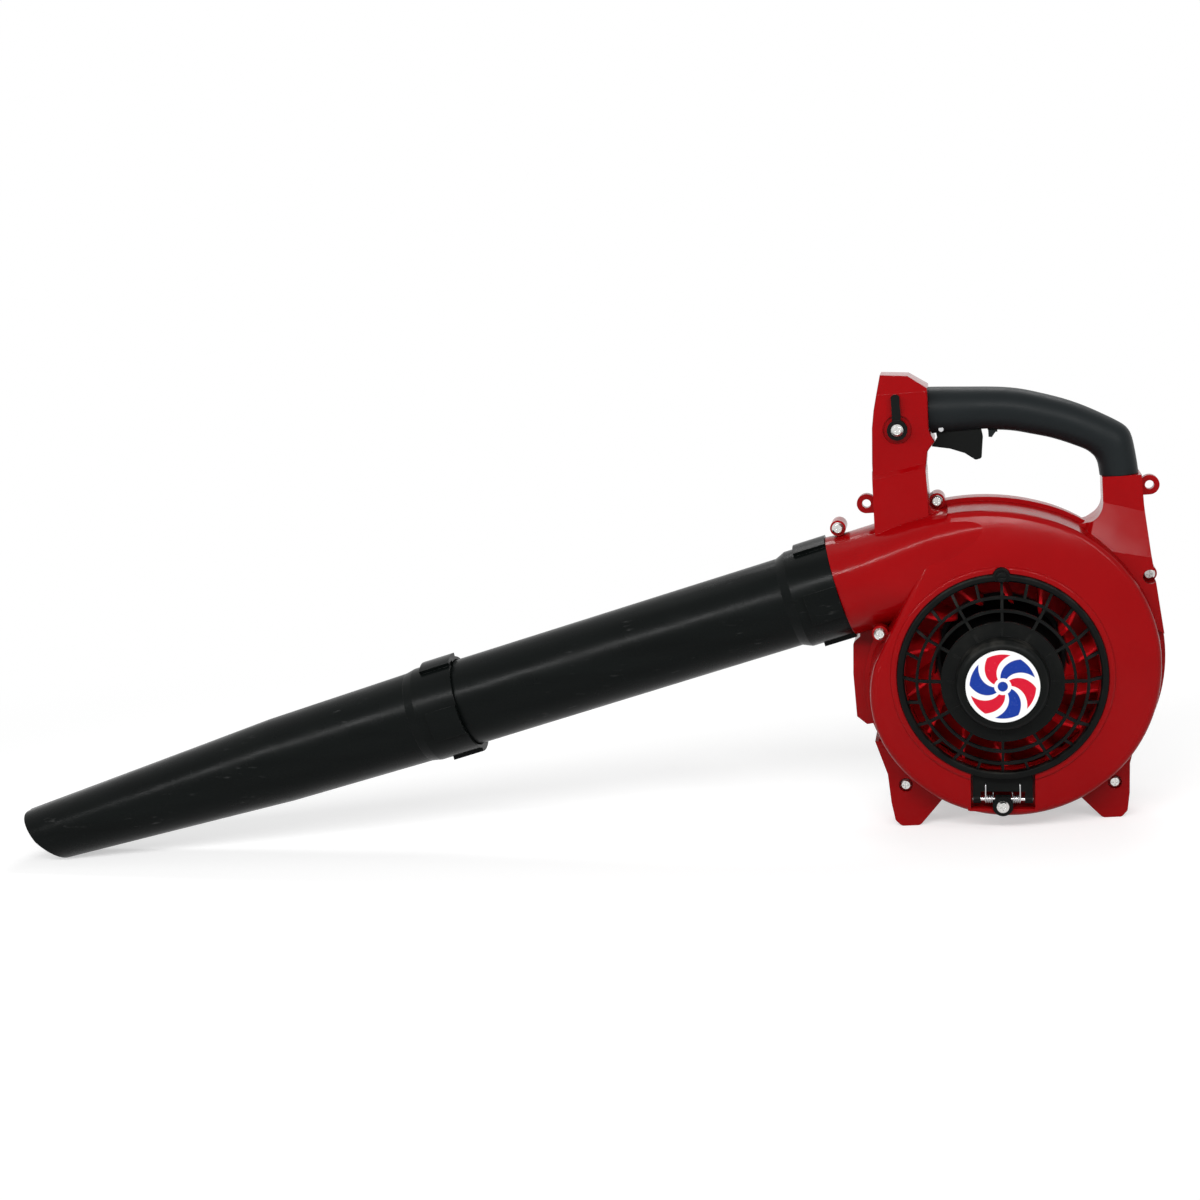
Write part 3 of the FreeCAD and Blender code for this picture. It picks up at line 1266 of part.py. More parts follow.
def crankshaft():
    """Built-up crankshaft with its webs and crankpin, drawn at top dead centre."""
    gap, thick = WEB_GAP, WEB_THICK
    pin = (0.0, FAN_Z + CRANK_THROW)
    shapes = [
        disc(SHAFT_RADIUS, SHAFT_FRONT_Y, CYL_Y - gap - 1),
        disc(SHAFT_RADIUS, CYL_Y + gap + 1, SHAFT_REAR_Y),
        disc(WEB_RADIUS, CYL_Y - gap - thick, CYL_Y - gap),
        disc(WEB_RADIUS, CYL_Y + gap, CYL_Y + gap + thick),
        disc(CRANKPIN_RADIUS, CYL_Y - gap - thick, CYL_Y + gap + thick, pin),
    ]
    body = joined(shapes)
    side_cuts = []
    for side in (-1, 1):
        side_cuts.append(block((side * 15, side * 40), (CYL_Y - 30, CYL_Y + 30), (FAN_Z + 2, FAN_Z + 40)))
    return body.cut(side_cuts)


def crankcase_front():
    """Front crankcase half, with the snout that carries the front seal and bearing."""
    seat = REAR_FACE_Y + CASE_SEAT_GAP
    bearing_end = FRONT_BEARING_Y + BEARING_WIDTH
    chamber = CYL_Y - CHAMBER_HALF
    seal_y = FRONT_BEARING_Y - SEAL_SETBACK - SEAL_WIDTH
    seal_end = seal_y + SEAL_WIDTH
    flange_end = seat + CASE_FLANGE_THICK
    bearing_bore, seal_bore = BEARING_OUTER + BEARING_PLAY, SEAL_OUTER + BEARING_PLAY
    profile = (
        (SHAFT_RADIUS + 1, CASE_SNOUT_Y), (CASE_SNOUT_RADIUS, CASE_SNOUT_Y), (CASE_SNOUT_RADIUS, seat),
        (CASE_FLANGE_RADIUS, seat), (CASE_FLANGE_RADIUS, flange_end), (CASE_RADIUS, flange_end),
        (CASE_RADIUS, CYL_Y - 0.05), (CHAMBER_RADIUS, CYL_Y - 0.05), (CHAMBER_RADIUS, chamber),
        (CASE_STEP_RADIUS, chamber), (CASE_STEP_RADIUS, bearing_end), (bearing_bore, bearing_end),
        (bearing_bore, FRONT_BEARING_Y), (SEAL_OUTER - 1, FRONT_BEARING_Y), (SEAL_OUTER - 1, seal_end),
        (seal_bore, seal_end), (seal_bore, seal_y), (SHAFT_RADIUS + 1, seal_y),
    )
    body = turned(profile).fuse(deck(-1))
    cuts = [rod(BORE_RADIUS + 0.5, (0, CYL_Y, FAN_Z), (0, CYL_Y, DECK_Z + 1)), above_deck()]
    for index in range(MOUNT_BOLTS):
        centre = about_fan(45 + index * 360 / MOUNT_BOLTS, MOUNT_BOLT_CIRCLE)
        cuts.append(disc(SCREW_SHANK + SCREW_PLAY, 30.0, seat + CASE_FLANGE_THICK + 1, centre))
    return body.cut(cuts)


def above_deck():
    """Space above the deck that the cylinder needs."""
    x = (-CASE_FLANGE_RADIUS, CASE_FLANGE_RADIUS)
    return block(x, (CYL_Y - FIN_HALF, CYL_Y + FIN_HALF), (DECK_Z, DECK_Z + 40))


def deck(side):
    """Half of the square deck on which the cylinder sits."""
    y = (CYL_Y + side * 0.05, CYL_Y + side * DECK_HALF)
    half = block((-DECK_HALF, DECK_HALF), y, (FAN_Z + 20, DECK_Z))
    return half.cut(disc(CHAMBER_RADIUS, 0.0, 200.0))


def crankcase_rear():
    """Rear crankcase half with its bearing, seal snout and starter posts."""
    chamber = CYL_Y + CHAMBER_HALF
    bearing_end = REAR_BEARING_Y + BEARING_WIDTH
    seal_y = bearing_end + SEAL_SETBACK
    seal_end = seal_y + SEAL_WIDTH
    bearing_bore, seal_bore = BEARING_OUTER + BEARING_PLAY, SEAL_OUTER + BEARING_PLAY
    profile = (
        (CHAMBER_RADIUS, CYL_Y + 0.05), (CASE_RADIUS, CYL_Y + 0.05), (CASE_RADIUS, REAR_BEARING_Y),
        (REAR_SNOUT_RADIUS, REAR_BEARING_Y + 3), (REAR_SNOUT_RADIUS, CASE_REAR_Y),
        (SHAFT_RADIUS + 1, CASE_REAR_Y), (SHAFT_RADIUS + 1, seal_end), (seal_bore, seal_end),
        (seal_bore, seal_y), (SEAL_OUTER - 1, seal_y), (SEAL_OUTER - 1, bearing_end),
        (bearing_bore, bearing_end), (bearing_bore, REAR_BEARING_Y), (CASE_STEP_RADIUS, REAR_BEARING_Y),
        (CASE_STEP_RADIUS, chamber), (CHAMBER_RADIUS, chamber),
    )
    shapes = [turned(profile), deck(1)]
    for angle in POST_ANGLES:
        arm = block((30.0, POST_CIRCLE), POST_ARM_Y, (FAN_Z - 4, FAN_Z + 4))
        shapes.append(spun(arm, angle))
        shapes.append(disc(POST_RADIUS, POST_ARM_Y[0], STARTER_FRONT_Y - 0.2, about_fan(angle, POST_CIRCLE)))
    body = joined(shapes)
    cuts = [
        rod(BORE_RADIUS + 0.5, (0, CYL_Y, FAN_Z), (0, CYL_Y, DECK_Z + 1)),
        disc(CHAMBER_RADIUS, CYL_Y, CYL_Y + CHAMBER_HALF),
        block((-DECK_HALF, DECK_HALF), (CYL_Y, CYL_Y + FIN_HALF), (DECK_Z, DECK_Z + 40)),
    ]
    for angle in POST_ANGLES:
        centre = about_fan(angle, POST_CIRCLE)
        cuts.append(disc(SCREW_SHANK + SCREW_PLAY, STARTER_FRONT_Y - 14, STARTER_FRONT_Y, centre))
    return body.cut(cuts)


def crank_bearings():
    """Two ball bearings of the crankshaft."""
    bearings = []
    for start in (FRONT_BEARING_Y, REAR_BEARING_Y):
        middle = start + BEARING_WIDTH / 2
        outer = washer(BEARING_OUTER, BEARING_OUTER - 3, start + 0.1, start + BEARING_WIDTH - 0.1)
        inner = washer(SHAFT_RADIUS + 3, SHAFT_RADIUS + 0.02, start + 0.1, start + BEARING_WIDTH - 0.1)
        cage = washer(BEARING_OUTER - 2.5, SHAFT_RADIUS + 2.5, middle - 2.5, middle + 2.5)
        bearings.append(joined([outer, inner, cage]))
    return Part.makeCompound(bearings)


def oil_seals():
    """Two shaft seals outside the bearings."""
    front = FRONT_BEARING_Y - SEAL_SETBACK - SEAL_WIDTH
    rear = REAR_BEARING_Y + BEARING_WIDTH + SEAL_SETBACK
    rings = [washer(SEAL_OUTER, SHAFT_RADIUS + 0.02, y + 0.1, y + SEAL_WIDTH - 0.1) for y in (front, rear)]
    return Part.makeCompound(rings)


def connecting_rod():
    """Connecting rod: its big end is opened to a saddle clear of the turning crankpin."""
    small_z = FAN_Z + CRANK_THROW + ROD_LENGTH
    half = WEB_GAP - 2.0
    saddle = CRANK_THROW + CRANKPIN_RADIUS + 0.5
    eye = disc(8.5, CYL_Y - half, CYL_Y + half, (0.0, small_z))
    shank = block((-4, 4), (CYL_Y - half + 1, CYL_Y + half - 1), (FAN_Z + saddle, small_z))
    foot = block((-11, 11), (CYL_Y - half, CYL_Y + half), (FAN_Z + 12, FAN_Z + saddle + 6))
    body = joined([eye, shank, foot])
    return body.cut([disc(saddle, 0.0, 200.0), disc(PISTON_PIN_RADIUS + 0.03, 0.0, 200.0, (0.0, small_z))])


def piston():
    """Piston with two ring grooves."""
    pin_z = FAN_Z + CRANK_THROW + ROD_LENGTH
    radius = BORE_RADIUS - PISTON_PLAY
    body = rod(radius, (0, CYL_Y, pin_z - PISTON_SKIRT), (0, CYL_Y, pin_z + PISTON_CROWN))
    cuts = [rod(radius - 2.6, (0, CYL_Y, pin_z - PISTON_SKIRT - 1), (0, CYL_Y, pin_z + PISTON_CROWN - 4))]
    pad_z = (pin_z - 8, pin_z + PISTON_CROWN - 3)
    pads = []
    for side in (-1, 1):
        pad = block((-9, 9), (CYL_Y + side * (WEB_GAP - 1), CYL_Y + side * (radius - 2)), pad_z)
        pads.append(pad.common(body))
    body = body.cut(cuts).fuse(pads)
    crown = pin_z + PISTON_CROWN
    cuts = [ring_space(crown - offset, radius + 1, radius - 2.2, 1.7) for offset in RING_OFFSETS]
    cuts.append(disc(PISTON_PIN_RADIUS + 0.02, 0.0, 200.0, (0.0, pin_z)))
    return body.cut(cuts).removeSplitter()


def ring_space(z, outer, inner, height):
    """Flat ring about the cylinder axis."""
    ring = rod(outer, (0, CYL_Y, z), (0, CYL_Y, z + height))
    return ring.cut(rod(inner, (0, CYL_Y, z), (0, CYL_Y, z + height)))


def piston_rings():
    """Two piston rings with their end gaps."""
    pin_z = FAN_Z + CRANK_THROW + ROD_LENGTH
    radius = BORE_RADIUS - PISTON_PLAY
    rings = []
    for offset in RING_OFFSETS:
        ring = ring_space(pin_z + PISTON_CROWN - offset + 0.05, BORE_RADIUS - 0.01, radius - 2.1, 1.6)
        gap = block((-0.3, 0.3), (CYL_Y, CYL_Y + 40), (pin_z, pin_z + 40))
        rings.append(ring.cut(gap))
    return Part.makeCompound(rings)


def piston_pin():
    """Hollow piston pin."""
    z = FAN_Z + CRANK_THROW + ROD_LENGTH
    return washer(PISTON_PIN_RADIUS, 2.6, CYL_Y - BORE_RADIUS + 2, CYL_Y + BORE_RADIUS - 2, (0.0, z))


def plug_axis():
    """Foot and direction of the spark plug."""
    lift = math.radians(PLUG_LIFT)
    return Vector(0, PLUG_Y, HEAD_TOP_Z - 4), Vector(0, math.cos(lift), math.sin(lift))


def cylinder():
    """Finned cylinder with its intake and exhaust ports."""
    base = DECK_Z + GASKET_THICK
    shapes = [rod(BARREL_RADIUS, (0, CYL_Y, base), (0, CYL_Y, HEAD_TOP_Z))]
    shapes.append(block((-DECK_HALF, DECK_HALF), (CYL_Y - DECK_HALF, CYL_Y + DECK_HALF), (base, base + 4.5)))
    for index in range(FIN_COUNT):
        z = FIN_START_Z + index * FIN_PITCH
        shapes.append(block((-FIN_HALF, FIN_HALF), (CYL_Y - FIN_HALF, CYL_Y + FIN_HALF), (z, z + FIN_THICK)))
    for side in (-1, 1):
        shapes.append(block(
            (side * 15, side * PORT_FACE), (CYL_Y - PORT_HALF_Y, CYL_Y + PORT_HALF_Y),
            (PORT_Z - PORT_HALF_Z, PORT_Z + PORT_HALF_Z)))
    foot, direction = plug_axis()
    shapes.append(Part.makeCylinder(9.0, 14.0, foot - direction * 6, direction))
    body = joined(shapes)
    cuts = [rod(BORE_RADIUS, (0, CYL_Y, base - 1), (0, CYL_Y, HEAD_Z))]
    cuts.append(rod(PORT_RADIUS, (-PORT_FACE - 1, CYL_Y, PORT_Z), (PORT_FACE + 1, CYL_Y, PORT_Z)))
    cuts.append(Part.makeCylinder(5.05, 60.0, foot - direction * 6, direction))
    cuts.append(Part.makeCylinder(9.4, 40.0, foot + direction * 8, direction))
    for dy, dz in MUFFLER_BOLTS:
        y, z = CYL_Y + dy, PORT_Z + dz
        for side in (1, -1):
            start = side * (PORT_FACE - 12)
            cuts.append(rod(SCREW_SHANK + SCREW_PLAY, (start, y, z), (side * (PORT_FACE + 1), y, z)))
    return body.cut(cuts)


def gaskets():
    """Cylinder base gasket and muffler gasket."""
    deck_y = (CYL_Y - DECK_HALF, CYL_Y + DECK_HALF)
    base = block((-DECK_HALF, DECK_HALF), deck_y, (DECK_Z, DECK_Z + GASKET_THICK))
    base = base.cut(rod(BORE_RADIUS + 0.5, (0, CYL_Y, DECK_Z - 1), (0, CYL_Y, DECK_Z + 2)))
    port = port_flange(PORT_FACE, PORT_FACE + GASKET_THICK)
    holes = [rod(PORT_RADIUS, (PORT_FACE - 1, CYL_Y, PORT_Z), (PORT_FACE + 2, CYL_Y, PORT_Z))]
    for y, z in MUFFLER_BOLTS:
        holes.append(rod(2.7, (PORT_FACE - 1, CYL_Y + y, PORT_Z + z), (PORT_FACE + 2, CYL_Y + y, PORT_Z + z)))
    return Part.makeCompound([base, port.cut(holes)])


def spark_plug():
    """Spark plug with its hexagon and insulator."""
    foot, direction = plug_axis()
    parts = [
        Part.makeCylinder(5.0, 8.9, foot - direction * 0.5, direction),
        Part.makeCylinder(8.0, 7.0, foot + direction * 8.2, direction),
        Part.makeCylinder(4.6, 16.2, foot + direction * 15, direction),
        Part.makeCylinder(2.6, 6.0, foot + direction * 31, direction),
    ]
    return joined(parts)


def plug_boot():
    """Boot of the plug, with a side neck into which the lead runs."""
    foot, direction = plug_axis()
    body = Part.makeCylinder(7.6, 27.0, foot + direction * 17, direction)
    body = body.makeFillet(2.5, [body.Edges[0]])
    neck = rod(4.2, (0, LEAD_ROUTE[-1][1], LEAD_ROUTE[-1][2]), (13.0, LEAD_ROUTE[-1][1], LEAD_ROUTE[-1][2]))
    hollow = Part.makeCylinder(4.65, 14.2, foot + direction * 17, direction)
    tip = Part.makeCylinder(2.65, 21.0, foot + direction * 17, direction)
    return body.fuse(neck).cut([hollow, tip])


def route_edges(points):
    """Straight runs joined by tangent arcs as large as the runs allow; returns edges and radii."""
    points = [Vector(*point) for point in points]
    edges = []
    radii = []
    start = points[0]
    for index in range(1, len(points) - 1):
        corner = points[index]
        back = points[index - 1] - corner
        ahead = points[index + 1] - corner
        setback = 0.45 * min(back.Length, ahead.Length)
        turn = math.pi - back.getAngle(ahead)
        radius = setback / math.tan(turn / 2)
        arc_start = corner + back.normalize() * setback
        arc_end = corner + ahead.normalize() * setback
        edges.append(Part.makeLine(start, arc_start))
        edges.append(arc_through(arc_start, corner, arc_end))
        radii.append(round(radius, 1))
        start = arc_end
    edges.append(Part.makeLine(start, points[-1]))
    return edges, radii


def routed(name, points, radius):
    """Cable or hose along a route, with its length, radii and volume check printed."""
    edges, radii = route_edges(points)
    tube = swept(edges, radius)
    length = sum(edge.Length for edge in edges)
    share = tube.Volume / (math.pi * radius ** 2 * length)
    print(name, "length", round(length, 1), "radii", radii, "volume share", round(share, 4))
    return tube


def throttle_cable():
    """Bowden cable from the trigger to the carburettor."""
    return routed("throttle_cable", CABLE_ROUTE, CABLE_RADIUS)


def fuel_lines():
    """Fuel line and return line between tank and carburettor."""
    return Part.makeCompound([routed("fuel_line", route, FUEL_LINE_RADIUS) for route in FUEL_ROUTES])


def ignition_lead():
    """High-tension lead from the coil with its moulded plug boot."""
    return joined([plug_boot(), routed("ignition_lead", LEAD_ROUTE, LEAD_RADIUS)])


def muffler():
    """Pressed steel muffler with its outlet."""
    x0 = PORT_FACE + GASKET_THICK
    x1 = x0 + MUFFLER_WIDTH
    y = (CYL_Y - MUFFLER_HALF_Y, CYL_Y + MUFFLER_HALF_Y)
    body = block((x0, x1), y, (MUFFLER_LOW_Z, MUFFLER_HIGH_Z))
    body = body.makeFillet(6.0, edges_where(body, lambda p: p.x > x0 + 0.5))
    wall = MUFFLER_WALL
    inside_z = (MUFFLER_LOW_Z + wall, MUFFLER_HIGH_Z - wall)
    inner = block((x0 + wall, x1 - wall), (y[0] + wall, y[1] - wall), inside_z)
    inner = inner.makeFillet(5.0, edges_where(inner, lambda p: p.x > x0 + wall + 0.5))
    seam_z = (MUFFLER_LOW_Z - SEAM_RISE, MUFFLER_HIGH_Z + SEAM_RISE)
    seam = block((x0 + 24, x0 + 26), (y[0] - SEAM_RISE, y[1] + SEAM_RISE), seam_z)
    outlet = rod(6.0, (x1 - 14, y[1] - 4, MUFFLER_LOW_Z + 12), (x1 - 14, y[1] + 8, MUFFLER_LOW_Z + 12))
    body = joined([body, seam, outlet])
    sleeves = []
    cuts = [inner, rod(PORT_RADIUS, (x0 - 1, CYL_Y, PORT_Z), (x0 + 4, CYL_Y, PORT_Z))]
    cuts.append(rod(4.6, (x1 - 14, y[1] - 10, MUFFLER_LOW_Z + 12), (x1 - 14, y[1] + 12, MUFFLER_LOW_Z + 12)))
    holes = []
    for dy, dz in MUFFLER_BOLTS:
        line = ((x0, CYL_Y + dy, PORT_Z + dz), (x1, CYL_Y + dy, PORT_Z + dz))
        sleeves.append(rod(4.0, *line))
        holes.append(rod(2.6, (x0 - 1, line[0][1], line[0][2]), (x1 + 1, line[0][1], line[0][2])))
    return body.cut(cuts).fuse(sleeves).cut(holes).removeSplitter()


def muffler_bolts():
    """Two long bolts through the muffler into the cylinder."""
    x1 = PORT_FACE + GASKET_THICK + MUFFLER_WIDTH
    bolts = []
    for dy, dz in MUFFLER_BOLTS:
        y, z = CYL_Y + dy, PORT_Z + dz
        head = rod(4.2, (x1 + 0.1, y, z), (x1 + 3.6, y, z))
        socket = rod(2.2, (x1 + 1.6, y, z), (x1 + 5, y, z))
        bolts.append(head.fuse(rod(2.5, (PORT_FACE - 10, y, z), (x1 + 1, y, z))).cut(socket))
    return Part.makeCompound(bolts)


def muffler_guard():
    """Slotted guard over the muffler."""
    x0 = PORT_FACE + GASKET_THICK + 8
    x1 = PORT_FACE + GASKET_THICK + MUFFLER_WIDTH + GUARD_GAP + GUARD_WALL
    gap = GUARD_GAP + GUARD_WALL
    y = (CYL_Y - MUFFLER_HALF_Y - gap, CYL_Y + MUFFLER_HALF_Y + gap)
    z = (MUFFLER_LOW_Z - gap, MUFFLER_HIGH_Z + gap)
    body = block((x0, x1), y, z)
    body = body.makeFillet(8.0, edges_where(body, lambda p: p.x > x0 + 0.5))
    wall = GUARD_WALL
    inner = block((x0 - 1, x1 - wall), (y[0] + wall, y[1] - wall), (z[0] + wall, z[1] - wall))
    inner = inner.makeFillet(6.0, edges_where(inner, lambda p: p.x > x0))
    cuts = [inner]
    pitch = (y[1] - y[0] - 20) / GUARD_SLOTS
    for index in range(GUARD_SLOTS):
        start = y[0] + 10 + pitch * (index + 0.2)
        cuts.append(block((x0 + 12, x1 + 1), (start, start + pitch * 0.55), (z[0] + 12, z[1] - 12)))
    outlet_z = MUFFLER_LOW_Z + 12
    x_out = PORT_FACE + GASKET_THICK + MUFFLER_WIDTH - 14
    cuts.append(rod(9.0, (x_out, y[1] - 10, outlet_z), (x_out, y[1] + 5, outlet_z)))
    feet = []
    for z_foot in (MUFFLER_LOW_Z - GUARD_GAP - 0.4, MUFFLER_HIGH_Z + 0.3):
        feet.append(block((x0 + 4, x0 + 12), (CYL_Y - 4, CYL_Y + 4), (z_foot, z_foot + GUARD_GAP + 0.1)))
    return joined([body.cut(cuts)] + feet)


def port_flange(x_from, x_to):
    """Flat flange round the port line, between two values of X."""
    y = (CYL_Y - PORT_HALF_Y, CYL_Y + PORT_HALF_Y)
    return block((x_from, x_to), y, (PORT_Z - PORT_HALF_Z, PORT_Z + PORT_HALF_Z))


def intake_insulator():
    """Heat insulator between cylinder and carburettor."""
    x0, x1 = -PORT_FACE - 0.1 - INSULATOR_THICK, -PORT_FACE - 0.1
    body = port_flange(x0, x1)
    holes = [rod(PORT_RADIUS, (x0 - 1, CYL_Y, PORT_Z), (x1 + 1, CYL_Y, PORT_Z))]
    for y, z in MUFFLER_BOLTS:
        holes.append(rod(2.6, (x0 - 1, CYL_Y + y, PORT_Z + z), (x1 + 1, CYL_Y + y, PORT_Z + z)))
    return body.cut(holes)


def carb_faces():
    """X of the carburettor's engine face and of its air face."""
    engine = -PORT_FACE - 0.2 - INSULATOR_THICK
    return engine, engine - CARB_LENGTH


def carburetor():
    """Diaphragm carburettor body."""
    engine, air = carb_faces()
    y = (CYL_Y - CARB_HALF_Y, CYL_Y + CARB_HALF_Y)
    body = block((air + 4, engine - 3), y, (CARB_LOW_Z, CARB_HIGH_Z))
    body = body.makeFillet(2.5, edges_where(body, lambda p: abs(p.x - (air + engine) / 2) < 12))
    faces = [
        port_flange(engine - 4, engine),
        port_flange(air, air + 5),
        rod(5.5, ((air + engine) / 2, CYL_Y, CARB_HIGH_Z - 1), ((air + engine) / 2, CYL_Y, CARB_HIGH_Z + 3)),
    ]
    body = joined([body] + faces)
    cuts = [rod(PORT_RADIUS, (air - 1, CYL_Y, PORT_Z), (engine + 1, CYL_Y, PORT_Z))]
    bulb_x = (air + engine) / 2
    cuts.append(disc(BULB_RADIUS + 0.5, y[1] - BULB_TRAVEL - 1, y[1] + 5, (bulb_x, PORT_Z - 6)))
    for dy, dz in MUFFLER_BOLTS:
        cuts.append(rod(2.6, (air - 1, CYL_Y + dy, PORT_Z + dz), (engine + 1, CYL_Y + dy, PORT_Z + dz)))
    return body.cut(cuts)


def primer_bulb():
    """Primer bulb on the back of the carburettor."""
    engine, air = carb_faces()
    y = CYL_Y + CARB_HALF_Y
    centre = ((air + engine) / 2, PORT_Z - 6)
    return turned((
        (0, y - 0.6), (BULB_RADIUS, y - 0.6), (BULB_RADIUS, y + 2), (7.0, y + 6), (4.0, y + 8.4), (0, y + 9),
    ), centre)


def air_cleaner_base():
    """Plate of the air cleaner with its stud, its hinge ear for the choke and its bolts' holes."""
    air = carb_faces()[1] - 0.1
    x0 = air - CLEANER_BASE_THICK
    side = CYL_Y + CLEANER_HALF_Y
    body = block((x0, air), (CYL_Y - CLEANER_HALF_Y, side), (CLEANER_LOW_Z, CLEANER_HIGH_Z))
    ear = block((x0, air), (side - 1, side + 12), (PORT_Z - 6, PORT_Z + 6))
    stud = rod(STUD_RADIUS, (x0 - CLEANER_DEPTH - 2, CYL_Y, STUD_Z), (x0 + 1, CYL_Y, STUD_Z))
    body = joined([body, ear, stud])
    pivot = side + CHOKE_OFFSET
    cuts = [
        rod(PORT_RADIUS + 2, (x0 - 1, CYL_Y, PORT_Z), (air + 1, CYL_Y, PORT_Z)),
        rod(CHOKE_PIN + 0.06, (x0 - 1, pivot, PORT_Z), (air + 1, pivot, PORT_Z)),
    ]
    return body.cut(cuts)


def choke_lever():
    """Choke lever that turns on the ear of the air cleaner base."""
    air = carb_faces()[1] - 0.1
    y = CYL_Y + CLEANER_HALF_Y + CHOKE_OFFSET
    x0, x1 = air + 0.3, air + 3.3
    hub = rod(5.0, (x0, y, PORT_Z), (x1, y, PORT_Z))
    arm = block((x0, x1), (y - 3, y + 3), (PORT_Z, PORT_Z + CHOKE_ARM))
    tab = block((x0, x1 + 6), (y - 4, y + 4), (PORT_Z + CHOKE_ARM - 3, PORT_Z + CHOKE_ARM))
    pin = rod(CHOKE_PIN, (air - CLEANER_BASE_THICK - 0.5, y, PORT_Z), (x1, y, PORT_Z))
    return joined([hub, arm, tab, pin])


def cleaner_shell(inset, x_open, x_end):
    """Rounded box of the air cleaner cover, drawn in by an inset."""
    y = (CYL_Y - CLEANER_HALF_Y - 2 + inset, CYL_Y + CLEANER_HALF_Y + 2 - inset)
    z = (CLEANER_LOW_Z - 2 + inset, CLEANER_HIGH_Z + 2 - inset)
    body = block((x_open, x_end), y, z)
    return body.makeFillet(7.0 - inset, edges_where(body, lambda p: p.x < x_open - 0.5))


def air_cleaner_cover():
    """Cover of the air cleaner, open towards the carburettor."""
    base = carb_faces()[1] - 0.1 - CLEANER_BASE_THICK - CLEANER_GAP
    end = base - CLEANER_DEPTH
    body = cleaner_shell(0.0, base, end)
    inner = cleaner_shell(CLEANER_WALL, base + 1, end + CLEANER_WALL)
    cuts = [inner, rod(STUD_RADIUS + 0.3, (end - 1, CYL_Y, STUD_Z), (base, CYL_Y, STUD_Z))]
    for index in range(5):
        z = CLEANER_LOW_Z + 6 + index * 6
        cuts.append(block((end - 1, end + 5), (CYL_Y - 16, CYL_Y + 16), (z, z + 2.4)))
    return body.cut(cuts)


def air_filter_foam():
    """Foam block on the air cleaner base."""
    base = carb_faces()[1] - 0.1 - CLEANER_BASE_THICK - 0.1
    body = block((base - FOAM_THICK, base), (CYL_Y - CLEANER_HALF_Y + 3, CYL_Y + CLEANER_HALF_Y - 3),
                 (CLEANER_LOW_Z + 3, CLEANER_HIGH_Z - 3))
    hole = rod(STUD_RADIUS + 0.5, (base - 40, CYL_Y, STUD_Z), (base + 1, CYL_Y, STUD_Z))
    return body.cut(hole)


def air_cleaner_knob():
    """Round knob that holds the air cleaner cover on its stud."""
    end = carb_faces()[1] - 0.1 - CLEANER_BASE_THICK - CLEANER_GAP - CLEANER_DEPTH - 0.1
    z = STUD_Z
    body = rod(CLEANER_KNOB, (end - 8, CYL_Y, z), (end, CYL_Y, z))
    cuts = [rod(STUD_RADIUS + 0.05, (end - 4, CYL_Y, z), (end + 1, CYL_Y, z))]
    for index in range(8):
        turn = math.radians(45 * index)
        y = CYL_Y + (CLEANER_KNOB + 1.2) * math.cos(turn)
        zz = z + (CLEANER_KNOB + 1.2) * math.sin(turn)
        cuts.append(rod(2.4, (end - 9, y, zz), (end + 1, y, zz)))
    return body.cut(cuts)


def engine_cover():
    """Cover over the cylinder, open below and at the sides for muffler and carburettor."""
    x = (-COVER_HALF, COVER_HALF)
    body = block(x, (COVER_FRONT_Y, COVER_REAR_Y), (COVER_LOW_Z, COVER_HIGH_Z))
    body = body.makeFillet(COVER_FILLET, edges_where(body, lambda p: p.z > COVER_HIGH_Z - 0.1))
    wall = COVER_WALL
    inside_y = (COVER_FRONT_Y + wall, COVER_REAR_Y - wall)
    inner = block((x[0] + wall, x[1] - wall), inside_y, (COVER_LOW_Z - 1, COVER_HIGH_Z - wall))
    top_edges = edges_where(inner, lambda p: p.z > COVER_HIGH_Z - wall - 0.1)
    inner = inner.makeFillet(COVER_FILLET - wall, top_edges)
    cuts = [inner]
    gap = GUARD_GAP + GUARD_WALL + 1
    reach = MUFFLER_HALF_Y + gap
    cuts.append(block((20, 100), (CYL_Y - reach, CYL_Y + reach), (100, MUFFLER_HIGH_Z + gap)))
    cuts.append(block((-100, -20), (CYL_Y - reach, CYL_Y + reach), (100, CARB_HIGH_Z + 14)))
    cuts.append(disc(CASE_FLANGE_RADIUS + 0.8, REAR_FACE_Y, COVER_FRONT_Y + wall + 1))
    cuts.append(disc(STARTER_RADIUS + 3, COVER_REAR_Y - 10, COVER_REAR_Y + 10))
    foot, direction = plug_axis()
    cuts.append(Part.makeCylinder(12.0, 60.0, foot, direction))
    pitch = (COVER_REAR_Y - COVER_FRONT_Y - 34) / COVER_SLOTS
    for index in range(COVER_SLOTS):
        y = COVER_FRONT_Y + 17 + pitch * (index + 0.25)
        for side in (-1, 1):
            slot_z = (COVER_HIGH_Z - 5, COVER_HIGH_Z + 1)
            cuts.append(block((side * 8, side * 38), (y, y + pitch * 0.5), slot_z))
    feet = []
    foot_y = (REAR_FACE_Y + 0.2, COVER_FRONT_Y + 1)
    for side in (-1, 1):
        foot_x = (side * (COVER_HALF - 12), side * COVER_HALF)
        feet.append(block(foot_x, foot_y, (COVER_LOW_Z, COVER_LOW_Z + 30)))
    return joined([body.cut(cuts)] + feet)


